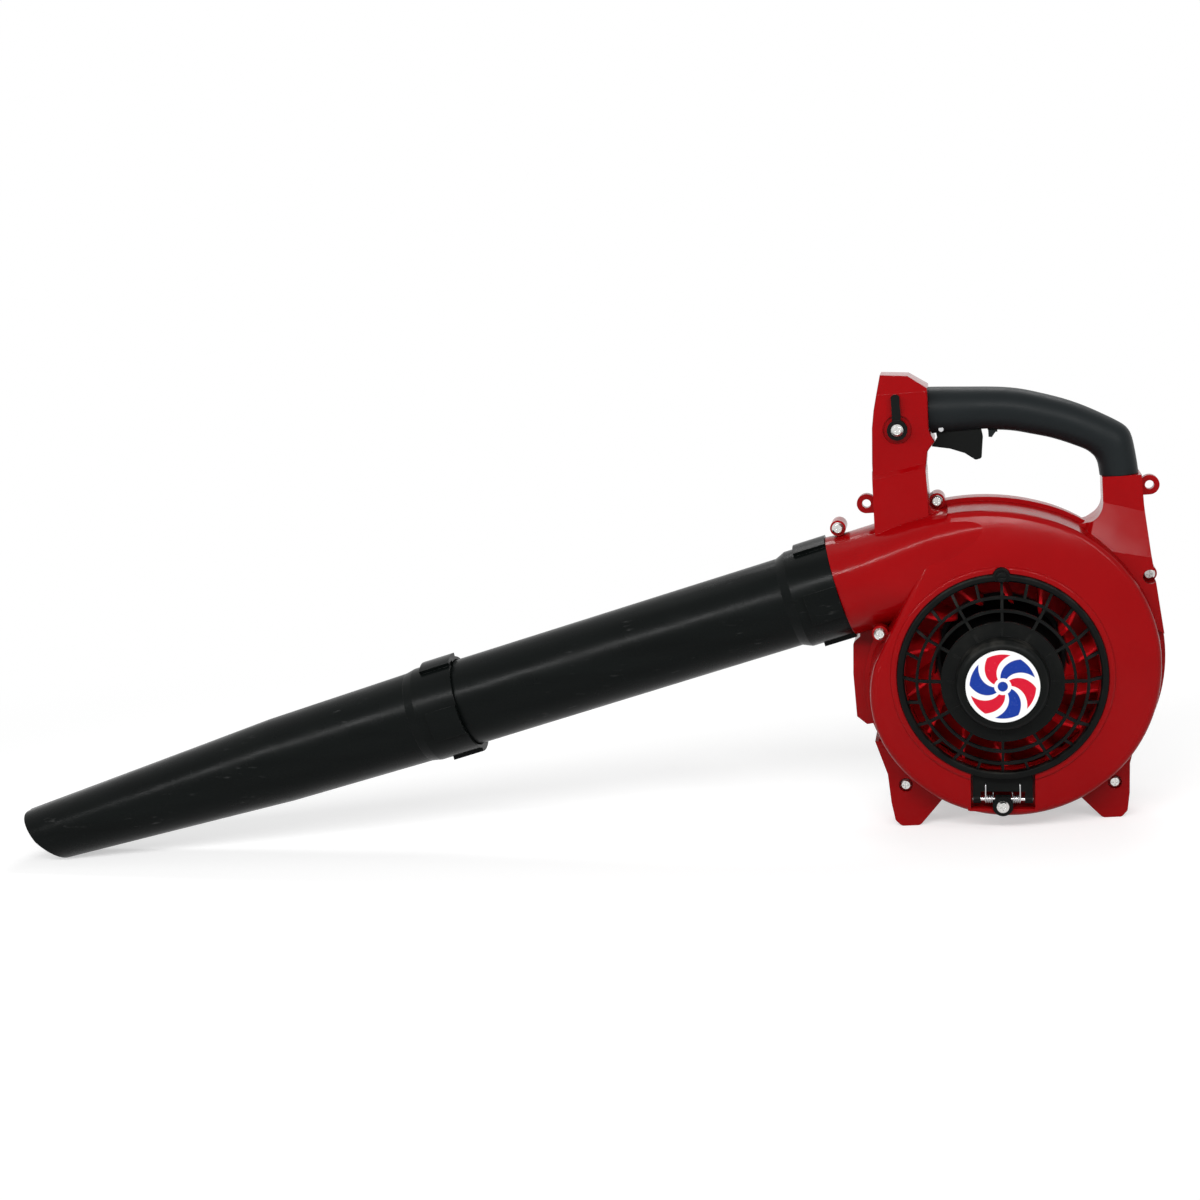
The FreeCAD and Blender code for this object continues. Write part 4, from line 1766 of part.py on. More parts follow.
def flywheel():
    """Flywheel with cooling vanes on its front face."""
    y0, y1 = FLYWHEEL_Y, FLYWHEEL_Y + FLYWHEEL_THICK
    bore, rim = SHAFT_RADIUS + 0.03, FLYWHEEL_RADIUS - 8
    body = turned((
        (bore, y0), (14.0, y0), (14.0, y0 + 5), (rim, y0 + 6), (rim, y0 + 1), (FLYWHEEL_RADIUS, y0 + 1),
        (FLYWHEEL_RADIUS, y1 - 2), (bore, y1 - 2),
    ))
    vane = block((16.0, FLYWHEEL_RADIUS - 6), (y0 + 1.5, y0 + 7), (FAN_Z - 1, FAN_Z + 1))
    return joined([body] + [spun(vane, 360 / FLYWHEEL_VANES * index) for index in range(FLYWHEEL_VANES)])


def starter_cup():
    """Notched cup on the crankshaft that the starter's pawls catch."""
    y0 = CUP_Y - 0.9
    bore, inside = SHAFT_RADIUS + 0.03, CUP_RADIUS - CUP_WALL
    body = turned((
        (bore, y0), (CUP_RADIUS, y0), (CUP_RADIUS, y0 + CUP_DEPTH), (inside, y0 + CUP_DEPTH),
        (inside, y0 + CUP_WALL), (bore, y0 + CUP_WALL),
    ))
    slot = block((CUP_RADIUS - 5, CUP_RADIUS + 2), (y0 + 5, y0 + CUP_DEPTH + 1), (FAN_Z - 3, FAN_Z + 3))
    return body.cut([spun(slot, 360 / CUP_SLOTS * index) for index in range(CUP_SLOTS)])


def ignition_coil():
    """Ignition coil with its two pole legs beside the flywheel."""
    inner = FLYWHEEL_RADIUS + 0.6
    y = (FLYWHEEL_Y + 2, FLYWHEEL_Y + 10)
    legs = [block((inner - 2, inner + 6), y, (FAN_Z + z, FAN_Z + z + 5)) for z in (-13, 8)]
    body_x = (inner + 4, STARTER_RADIUS - STARTER_WALL - 2.6)
    body = block(body_x, (y[0] - 1, y[1] + 4), (FAN_Z - 13, FAN_Z + 13))
    coil = spun(joined(legs + [body]).cut(disc(inner, 100.0, 160.0)), COIL_ANGLE)
    return coil.cut(rod(LEAD_RADIUS + 0.05, LEAD_ROUTE[0], LEAD_ROUTE[1]))


def starter_case():
    """Stepped case over flywheel and recoil starter."""
    wall = STARTER_WALL
    big, small = STARTER_RADIUS, STARTER_SMALL_RADIUS
    y0, y1, y2 = STARTER_FRONT_Y, STARTER_STEP_Y, STARTER_BACK_Y
    outer = turned((
        (0, y0), (big, y0), (big, y1 - 3), (big - 3, y1), (small + 1, y1), (small, y1 + 1),
        (small, y2 - 4), (small - 4, y2), (0, y2),
    ))
    inner = turned((
        (0, y0 - 1), (big - wall, y0 - 1), (big - wall, y1 - wall), (small - wall, y1 - wall),
        (small - wall, y2 - wall), (0, y2 - wall),
    ))
    body = outer.cut(inner)
    additions = [disc(SPINDLE_RADIUS, PULLEY_Y - 1, y2 - 1)]
    for angle in POST_ANGLES:
        additions.append(disc(POST_RADIUS, y0, y1 - 1, about_fan(angle, POST_CIRCLE)))
    body = joined([body] + additions)
    hole = SCREW_SHANK + SCREW_PLAY
    cuts = [disc(hole, y0 - 1, y1 + 1, about_fan(angle, POST_CIRCLE)) for angle in POST_ANGLES]
    slot = block((14.0, small - 12), (y2 - 5, y2 + 1), (FAN_Z - 2.2, FAN_Z + 2.2))
    for index in range(STARTER_SLOTS):
        cuts.append(spun(slot, 360 / STARTER_SLOTS * (index + 0.5)))
    lead = Vector(*LEAD_ROUTE[1]) - Vector(*LEAD_ROUTE[0])
    cuts.append(Part.makeCylinder(LEAD_RADIUS + 0.1, 30.0, Vector(*LEAD_ROUTE[0]) - lead * 0.1, lead))
    cuts.append(rope_hole(ROPE_RADIUS + 3.1))
    return body.cut(cuts)


def rope_line():
    """Depth and height of the rope where it leaves the pulley along X."""
    return PULLEY_Y + PULLEY_WIDTH / 2, FAN_Z + ROPE_LAP


def rope_hole(radius):
    """Hole of the rope's eyelet in the side of the starter case."""
    y, z = rope_line()
    return rod(radius, (20.0, y, z), (80.0, y, z))


def rope_eyelet():
    """Metal eyelet that guides the rope out of the case."""
    y, z = rope_line()
    start = math.sqrt(STARTER_SMALL_RADIUS ** 2 - (z - FAN_Z) ** 2)
    sleeve = rod(ROPE_RADIUS + 3.0, (start - 3.6, y, z), (start + 7.0, y, z))
    head = rod(ROPE_RADIUS + 4.6, (start + 6.0, y, z), (start + 8.2, y, z))
    return joined([sleeve, head]).cut(rod(ROPE_RADIUS + 0.6, (0, y, z), (90, y, z)))


def starter_pulley():
    """Rope pulley with one wound layer of rope; it turns on the spindle of the case."""
    y0, y1 = PULLEY_Y, PULLEY_Y + PULLEY_WIDTH
    lap = ROPE_LAP + ROPE_RADIUS
    rim = PULLEY_RADIUS + 3
    return turned((
        (SPINDLE_RADIUS + 0.05, y0), (rim, y0), (rim, y0 + 1.6), (lap, y0 + 2.4),
        (lap, y1 - 2.4), (rim, y1 - 1.6), (rim, y1), (SPINDLE_RADIUS + 0.05, y1),
    ))


def handle_x():
    """X of the starter handle's inner end."""
    z = rope_line()[1]
    return math.sqrt(STARTER_SMALL_RADIUS ** 2 - (z - FAN_Z) ** 2) + 9.0


def starter_rope():
    """Straight run of the rope from the pulley to the handle."""
    y, z = rope_line()
    return rod(ROPE_RADIUS, (ROPE_START_X, y, z), (handle_x() + 16.0, y, z))


def recoil_spring():
    """Flat spiral spring of the recoil starter."""
    y0 = PULLEY_Y + PULLEY_WIDTH + 1.5
    y1 = STARTER_BACK_Y - STARTER_WALL - SPRING_CASE_GAP
    inner, outer = SPINDLE_RADIUS + 3.0, PULLEY_RADIUS - 3.0
    step = (outer - inner) / (2 * SPRING_LOOPS)
    edges_out = []
    edges_in = []
    for index in range(2 * SPRING_LOOPS):
        radius = inner + step * (index + 0.5)
        sign = 1 if index % 2 == 0 else -1
        centre = sign * step / 2
        for store, offset in ((edges_out, SPRING_STRIP / 2), (edges_in, -SPRING_STRIP / 2)):
            reach = sign * (radius + offset)
            start, end = Vector(centre - reach, y0, FAN_Z), Vector(centre + reach, y0, FAN_Z)
            store.append(Part.Arc(start, Vector(centre, y0, FAN_Z + reach), end).toShape())
    ends = []
    for index, parameter in ((0, "FirstParameter"), (-1, "LastParameter")):
        a = edges_out[index].valueAt(getattr(edges_out[index], parameter))
        b = edges_in[index].valueAt(getattr(edges_in[index], parameter))
        ends.append(Part.makeLine(a, b))
    wire = Part.Wire(Part.__sortEdges__(edges_out + edges_in + ends))
    return Part.Face(wire).extrude(Vector(0, y1 - y0, 0))


def engine_screws():
    """Crankcase bolts in the rear housing, and starter case screws with their heads to the rear."""
    screws = []
    head_y = REAR_FACE_Y - REAR_WALL - HEAD_SEAT
    for index in range(MOUNT_BOLTS):
        screws.append(pan_screw(about_fan(45 + index * 360 / MOUNT_BOLTS, MOUNT_BOLT_CIRCLE), head_y, 9.0))
    for angle in POST_ANGLES:
        centre = about_fan(angle, POST_CIRCLE)
        y = STARTER_STEP_Y + HEAD_SEAT
        head = disc(SCREW_HEAD, y, y + SCREW_HEAD_HEIGHT, centre)
        head = head.makeFillet(1.2, edges_where(head, lambda p: p.y > y + SCREW_HEAD_HEIGHT - 0.1))
        shank = disc(SCREW_SHANK, STARTER_FRONT_Y - 12, y + 1, centre)
        slot_x, slot_z = (centre[0] - 2.6, centre[0] + 2.6), (centre[1] - 0.6, centre[1] + 0.6)
        slot = block(slot_x, (y + SCREW_HEAD_HEIGHT - 1.2, y + 9), slot_z)
        screws.append(head.fuse(shank).cut(slot))
    return Part.makeCompound(screws)


def starter_handle():
    """Pull handle: a round-ended bar across the rope."""
    y, z = rope_line()
    x = handle_x()
    neck = rod(5.5, (x, y, z), (x + 12, y, z))
    bar = rod(PULL_BAR_RADIUS, (x + 14, y, z - PULL_BAR_HALF), (x + 14, y, z + PULL_BAR_HALF))
    bar = bar.makeFillet(5.0, edges_where(bar, lambda p: abs(p.z - z) > PULL_BAR_HALF - 0.1))
    return joined([neck, bar]).cut(rod(ROPE_RADIUS + 0.02, (x - 1, y, z), (x + 16.1, y, z)))


def blower_tube():
    """Blower tube: a bayonet socket at its right end and a neck with lugs at its left end."""
    body = tube_socket(TUBE_START, TUBE_RADIUS, TUBE_RADIUS - TUBE_WALL)
    start = TUBE_START + SOCKET_LENGTH
    main = pipe_piece(TUBE_RADIUS, TUBE_RADIUS - TUBE_WALL, start, TUBE_LENGTH)
    lugs = []
    for lug in outlet_lugs():
        lug.translate(Vector(0, 0, NOZZLE_START - TUBE_START))
        lugs.append(lug)
    return on_tube_axis(joined([body, main] + lugs))


def tube_socket(start, outer, inner):
    """Bayonet socket along local Z, with its raised pads and hidden grooves."""
    hole = NECK_RADIUS + SOCKET_GAP
    skin = hole + SOCKET_WALL
    end = start + SOCKET_LENGTH
    shapes = [Part.makeCylinder(skin, SOCKET_LENGTH, Vector(0, 0, start))]
    shapes.append(Part.makeCone(skin, outer, 8.0, Vector(0, 0, end)))
    half = (LUG_ANGLE + 2 * GROOVE_PLAY_ANGLE + BAYONET_TURN) / 2 + PAD_EXTRA_ANGLE
    middle = BAYONET_TURN / 2
    lug_end = LUG_S + LUG_LENGTH + GROOVE_PLAY
    for index in range(LUG_COUNT):
        angle = index * 360 / LUG_COUNT
        shapes.append(sector(skin + PAD_RISE, hole, start, start + PAD_LENGTH, angle - middle, half))
    body = joined(shapes)
    cuts = [
        Part.makeCylinder(hole, SOCKET_LENGTH + 1, Vector(0, 0, start - 1)),
        Part.makeCylinder(inner, 20.0, Vector(0, 0, end - 1)),
    ]
    depth = NECK_RADIUS + LUG_RISE + GROOVE_PLAY
    neck_start = start - TUBE_START
    groove_start, groove_end = neck_start + LUG_S - GROOVE_PLAY, neck_start + lug_end
    groove_half = (LUG_ANGLE + 2 * GROOVE_PLAY_ANGLE + BAYONET_TURN) / 2
    entry_half = LUG_ANGLE / 2 + GROOVE_PLAY_ANGLE
    for index in range(LUG_COUNT):
        angle = index * 360 / LUG_COUNT
        cuts.append(sector(depth, hole - 1, groove_start, groove_end, angle - middle, groove_half))
        cuts.append(sector(depth, hole - 1, start - 1, groove_end, angle - BAYONET_TURN, entry_half))
    return body.cut(cuts)


def ellipse_wire(tall, wide, s):
    """Oval of four arcs about local Z."""
    edges = []
    for quarter in range(4):
        points = []
        for part in range(3):
            angle = math.radians(90 * quarter + 45 * part)
            points.append(Vector(tall * math.cos(angle), wide * math.sin(angle), s))
        edges.append(Part.Arc(*points).toShape())
    return Part.Wire(edges)


def nozzle_tube():
    """Nozzle: a bayonet socket, a slight cone and a mouth flattened from the side and cut aslant."""
    start = NOZZLE_START + SOCKET_LENGTH
    body = tube_socket(NOZZLE_START, NOZZLE_RADIUS, NOZZLE_RADIUS - TUBE_WALL)
    skins = []
    length = NOZZLE_WAIST_S - start
    for inset in (0.0, TUBE_WALL):
        cone = Part.makeCone(NOZZLE_RADIUS - inset, NOZZLE_WAIST - inset, length, Vector(0, 0, start))
        mouth = Part.makeLoft([
            ellipse_wire(NOZZLE_WAIST - inset, NOZZLE_WAIST - inset, NOZZLE_WAIST_S),
            ellipse_wire(TIP_HALF_HEIGHT - inset, TIP_HALF_WIDTH - inset, NOZZLE_TIP_S),
        ], True, True)
        skins.append(cone.fuse(mouth))
    shell = skins[0].cut(skins[1])
    body = joined([body, shell])
    cutter = Part.makeBox(200, 200, 100, Vector(-100, -100, 0))
    cutter.rotate(Vector(0, 0, 0), Vector(0, 1, 0), -TIP_CUT_ANGLE)
    cutter.translate(Vector(0, 0, TIP_CUT_S))
    return on_tube_axis(body.cut(cutter))


def fuel_tank():
    """Blow-moulded tank under the engine, with its neck, rear feet and front pads."""
    x = (-TANK_HALF, TANK_HALF)
    y = (TANK_FRONT_Y, TANK_REAR_Y)
    z = (TANK_LOW_Z, TANK_HIGH_Z)
    body = block(x, y, z)
    body = body.makeFillet(TANK_FILLET, body.Edges)
    wall = TANK_WALL
    inner = block((x[0] + wall, x[1] - wall), (y[0] + wall, y[1] - wall), (z[0] + wall, z[1] - wall))
    inner = inner.makeFillet(TANK_FILLET - wall, inner.Edges)
    additions = [rod(NECK_TUBE, (-TANK_HALF - 9, CAP_Y, CAP_Z), (-TANK_HALF + 4, CAP_Y, CAP_Z))]
    for side in (-1, 1):
        foot_x = (side * (TANK_FOOT_X - TANK_FOOT_HALF), side * (TANK_FOOT_X + TANK_FOOT_HALF))
        additions.append(block(foot_x, (TANK_FOOT_FRONT_Y, TANK_FOOT_REAR_Y), (0.0, TANK_LOW_Z + 1.5)))
        additions.append(block((side * 20, side * 36), (REAR_FACE_Y + 0.3, TANK_FRONT_Y + 1.5), (28.0, 50.0)))
    body = joined([body] + additions).cut(inner)
    cuts = [rod(NECK_TUBE - 2.5, (-TANK_HALF - 12, CAP_Y, CAP_Z), (-TANK_HALF + 6, CAP_Y, CAP_Z))]
    cuts += [rod(FUEL_LINE_RADIUS + 0.05, route[0], route[1]) for route in FUEL_ROUTES]
    return body.cut(cuts)


def fuel_cap():
    """Ribbed fuel cap that turns on the neck."""
    x1 = -TANK_HALF - 1.0
    x0 = x1 - CAP_DEPTH
    body = rod(CAP_RADIUS, (x0, CAP_Y, CAP_Z), (x1, CAP_Y, CAP_Z))
    body = body.makeFillet(1.5, edges_where(body, lambda p: p.x < x0 + 0.1))
    cuts = [rod(NECK_TUBE + 0.08, (x0 + 3, CAP_Y, CAP_Z), (x1 + 1, CAP_Y, CAP_Z))]
    for index in range(16):
        turn = math.radians(22.5 * index)
        y = CAP_Y + (CAP_RADIUS + 0.9) * math.cos(turn)
        z = CAP_Z + (CAP_RADIUS + 0.9) * math.sin(turn)
        cuts.append(rod(1.9, (x0 - 1, y, z), (x1 + 1, y, z)))
    return body.cut(cuts)


PARTS = {
    "front_housing": front_housing,
    "rear_housing": rear_housing,
    "housing_screws": housing_screws,
    "grip_front": lambda: grip_half(-1),
    "grip_rear": lambda: grip_half(1),
    "throttle_trigger": throttle_trigger,
    "trigger_pin": trigger_pin,
    "cruise_lever": cruise_lever,
    "stop_switch": stop_switch,
    "intake_grille": intake_grille,
    "medallion": medallion,
    "grille_catch": grille_catch,
    "hinge_bracket": hinge_bracket,
    "grille_hinge_pin": grille_hinge_pin,
    "grille_springs": grille_springs,
    "blower_tube": blower_tube,
    "nozzle_tube": nozzle_tube,
    "fan_impeller": fan_impeller,
    "fan_cone": fan_cone,
    "shaft_nuts": shaft_nuts,
    "crankshaft": crankshaft,
    "crankcase_front": crankcase_front,
    "crankcase_rear": crankcase_rear,
    "crank_bearings": crank_bearings,
    "oil_seals": oil_seals,
    "connecting_rod": connecting_rod,
    "piston": piston,
    "piston_pin": piston_pin,
    "piston_rings": piston_rings,
    "cylinder": cylinder,
    "gaskets": gaskets,
    "spark_plug": spark_plug,
    "ignition_coil": ignition_coil,
    "ignition_lead": ignition_lead,
    "flywheel": flywheel,
    "starter_cup": starter_cup,
    "starter_case": starter_case,
    "starter_pulley": starter_pulley,
    "starter_rope": starter_rope,
    "recoil_spring": recoil_spring,
    "rope_eyelet": rope_eyelet,
    "engine_screws": engine_screws,
    "starter_handle": starter_handle,
    "engine_cover": engine_cover,
    "muffler": muffler,
    "muffler_bolts": muffler_bolts,
    "muffler_guard": muffler_guard,
    "carburetor": carburetor,
    "intake_insulator": intake_insulator,
    "air_cleaner_base": air_cleaner_base,
    "air_filter_foam": air_filter_foam,
    "air_cleaner_cover": air_cleaner_cover,
    "air_cleaner_knob": air_cleaner_knob,
    "choke_lever": choke_lever,
    "primer_bulb": primer_bulb,
    "fuel_tank": fuel_tank,
    "fuel_cap": fuel_cap,
    "fuel_lines": fuel_lines,
    "throttle_cable": throttle_cable,
}


def main():
    os.makedirs("parts", exist_ok=True)
    for name, build in PARTS.items():
        shape = build()
        print(name, "solids", len(shape.Solids), "valid", shape.isValid())
        shape.exportStep(os.path.join("parts", name + ".step"))


main()
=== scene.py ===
"""Handheld petrol leaf blower in a pale studio, in metres, in the frame of the CAD model."""
import json
import math

import bpy
from mathutils import Matrix, Vector


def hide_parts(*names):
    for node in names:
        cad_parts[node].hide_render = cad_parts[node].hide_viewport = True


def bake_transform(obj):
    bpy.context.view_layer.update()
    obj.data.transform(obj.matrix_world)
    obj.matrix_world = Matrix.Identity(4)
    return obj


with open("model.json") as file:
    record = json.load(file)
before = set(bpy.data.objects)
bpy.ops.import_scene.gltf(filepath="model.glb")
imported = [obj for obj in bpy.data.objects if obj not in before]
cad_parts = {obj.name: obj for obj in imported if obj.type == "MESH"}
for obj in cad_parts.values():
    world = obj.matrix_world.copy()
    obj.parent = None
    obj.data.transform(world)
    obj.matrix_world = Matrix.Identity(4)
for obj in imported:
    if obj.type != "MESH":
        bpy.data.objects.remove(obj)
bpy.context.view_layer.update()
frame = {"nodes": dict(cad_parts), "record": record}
nodes = frame["nodes"]
scene = bpy.context.scene

# Camera, solved so that the solids fall on the photograph's outline
CAMERA_PLACE = Vector((0.0, -1.8, 0.5))
CAMERA_YAW = math.radians(10.240)
CAMERA_PITCH = math.radians(9.3355)
CAMERA_ROLL = math.radians(-5.1763)
SENSOR_WIDTH = 36.0
FOCAL_PIXELS = 2226.66
IMAGE_PIXELS = 1200

# Light: strength of the white room on the object, then name, place, target, power, width and height
# of each lamp. The key lamp is long and narrow, for the narrow highlights along tube and duct.
LIT_ROOM = 0.22
KEY_POWER = 38.0
LAMPS = (
    ("key_lamp", (-0.5, -1.55, 1.16), (-0.15, 0.0, 0.2), KEY_POWER, 3.0, 0.12),
    ("window_lamp", (0.85, -1.0, 0.9), (0.1, 0.0, 0.2), KEY_POWER * 0.11, 0.25, 0.5),
    ("top_lamp", (-0.3, 0.4, 1.6), (-0.2, 0.0, 0.1), KEY_POWER * 0.03, 1.4, 0.6),
    ("back_lamp", (0.0, 1.3, 1.75), (-0.1, 0.1, 0.15), KEY_POWER * 0.45, 1.6, 0.4),
)

# Floor: it is lifted towards white where it is seen, and it keeps the shadow inside an oval, with
# its centre, the scale of its axes and the distances between which the white room takes over
FLOOR_HALF = 4.0
FLOOR_GREY = (0.6, 0.6, 0.6, 1.0)
FLOOR_LIFT = 0.52
SHADOW_CENTRE = (-0.35, 0.05, 0.0)
SHADOW_SCALE = (0.6, 1.0, 1.0)
SHADOW_FADE = (0.35, 0.9)
WHITE = (1.0, 1.0, 1.0, 1.0)

# Colours, linear
RED = (0.27, 0.0010, 0.0022)
# Red of the fan, painted paler than the housing's red as painted light, to make up for the shade in the
# fan's recess
FAN_RED_WITH_PAINTED_LIGHT = (0.80, 0.006, 0.012)
TUBE_BLACK = (0.0030, 0.0040, 0.0038)
GRIP_BLACK = (0.0095, 0.0120, 0.0130)
PART_BLACK = (0.0045, 0.0051, 0.0048)
DUST_GREY = (0.16, 0.15, 0.13)
GRIME_GREY = (0.3, 0.28, 0.26)
SCUFF_GREY = (0.10, 0.10, 0.10)
RUBBED_GREY = (0.09, 0.09, 0.085)
BADGE_WHITE = (0.88, 0.88, 0.88)
BADGE_RED = (0.62, 0.010, 0.032)
BADGE_BLUE = (0.010, 0.040, 0.30)

# Sockets of the Mix node in its colour mode
MIX_FACTOR = 0
MIX_A = 6
MIX_B = 7
MIX_RESULT = 2

# Surface detail: radii of the rounded edges and depth of the fine relief. NOISE_SPAN is the part of
# the noise that gets spread, and EDGE_TURN is how far the rounded normal leaves the true one.
PLASTIC_EDGE = 0.0005
TANK_EDGE = 0.0006
BADGE_EDGE = 0.0003
METAL_EDGE = 0.0002
BEVEL_SAMPLES = 4
GRAIN_DEPTH = 0.0001
NOISE_ROUGHNESS = 0.55
NOISE_SPAN = (0.3, 0.7)
EDGE_TURN = (0.02, 0.14)

# Mould seam at Y = 0: half width of its floor and of its mouth, for the housing and for the tube
HOUSING_SEAM = (0.00012, 0.00055)
TUBE_SEAM = (0.0002, 0.0009)

# Slope of the tube, and how far its scuffs lean away from it
TUBE_DROP = math.radians(14.0)
SCUFF_LEAN = 0.5

# Badge: its radius, how its blades curve as they leave the hub, and how many there are
BADGE_RADIUS = 0.0284
BLADE_CURVE = 1.4
BLADE_SWEEP = 1.15
BLADES = 6

# Fan axis, and the tilt of the grille's hinge around it
FAN_AXIS = Vector((0.0, 0.0, 0.128))
GRILLE_TILT = math.radians(3.0)

# Torsion springs on the hinge pin
HINGE_DEPTH = -0.050
HINGE_HEIGHT = 0.027
SPRING_START = 0.0076
SPRING_COIL = 0.0030
SPRING_PITCH = 0.0017
SPRING_TURNS = 3.5
SPRING_STEPS = 32
SPRING_FOOT = 0.005
SPRING_FOOT_STEPS = 4
SPRING_LEG = 0.013
SPRING_LEG_STEPS = 6
SPRING_WIRE = 0.00055
SPRING_SIDES = 12

# Starter rope: a straight run along X from ROPE_START to ROPE_END, at ROPE_DEPTH and ROPE_HEIGHT.
# ROPE_LAY is the turn of its strands in radians per metre.
ROPE_START = 0.0172
ROPE_END = 0.0564
ROPE_DEPTH = 0.154
ROPE_HEIGHT = 0.160
ROPE_RADIUS = 0.00172
ROPE_STEPS = 160
ROPE_SIDES = 16
ROPE_STRANDS = 4.0
ROPE_LAY = 1900.0


def place_camera():
    """Camera at the photograph's viewing angle."""
    forward = Vector((
        -math.sin(CAMERA_YAW) * math.cos(CAMERA_PITCH),
        math.cos(CAMERA_YAW) * math.cos(CAMERA_PITCH),
        -math.sin(CAMERA_PITCH),
    ))
    level = forward.cross(Vector((0, 0, 1))).normalized()
    upright = level.cross(forward)
    right = math.cos(CAMERA_ROLL) * level + math.sin(CAMERA_ROLL) * upright
    up = -math.sin(CAMERA_ROLL) * level + math.cos(CAMERA_ROLL) * upright
    data = bpy.data.cameras.new("camera")
    data.sensor_width = SENSOR_WIDTH
    data.lens = FOCAL_PIXELS / IMAGE_PIXELS * SENSOR_WIDTH
    camera = bpy.data.objects.new("camera", data)
    scene.collection.objects.link(camera)
    columns = (right, up, -forward, CAMERA_PLACE)
    rows = [[column[row] for column in columns] for row in range(3)]
    camera.matrix_world = Matrix(rows + [[0, 0, 0, 1]])
    scene.camera = camera


def lamp(name, place, target, power, width, height):
    """Soft rectangular lamp that points at its target."""
    data = bpy.data.lights.new(name, "AREA")
    data.energy = power
    data.shape = "RECTANGLE"
    data.size = width
    data.size_y = height
    thing = bpy.data.objects.new(name, data)
    scene.collection.objects.link(thing)
    thing.location = place
    thing.rotation_euler = (Vector(target) - Vector(place)).to_track_quat("-Z", "Y").to_euler()


def scaled(colour, factor):
    """Colour made darker or paler, up to full white."""
    return tuple(min(1.0, part * factor) for part in colour)


class NodeTree:
    """A node tree that is cleared and then built a few nodes at a time."""

    def __init__(self, tree, output):
        self.tree = tree
        tree.nodes.clear()
        self.output = self.node(output)

    def node(self, kind, inputs=None, **settings):
        """New node with its settings; an input is a number, a tuple or another node's output."""
        made = self.tree.nodes.new("ShaderNode" + kind)
        for key, value in settings.items():
            setattr(made, key, value)
        for key, value in (inputs or {}).items():
            if isinstance(value, bpy.types.NodeSocket):
                self.tree.links.new(value, made.inputs[key])
            else:
                made.inputs[key].default_value = value
        return made

    def math(self, operation, a, b=0.0, c=0.0):
        """Number from one, two or three numbers."""
        return self.node("Math", {0: a, 1: b, 2: c}, operation=operation).outputs[0]

    def ranged(self, value, low, high, to_low, to_high):
        """Value moved from one range to another and held at its ends."""
        inputs = {
            "Value": value, "From Min": low, "From Max": high, "To Min": to_low, "To Max": to_high,
        }
        return self.node("MapRange", inputs).outputs[0]

    def seen(self):
        """1 for rays from the camera, from gloss and through glass, and 0 for the light on things."""
        rays = self.node("LightPath").outputs
        indirect = self.math("MAXIMUM", rays["Is Glossy Ray"], rays["Is Transmission Ray"])
        return self.math("MAXIMUM", rays["Is Camera Ray"], indirect)

    def show(self, shader):
        """Link a shader node to the output."""
        self.tree.links.new(shader.outputs[0], self.output.inputs["Surface"])


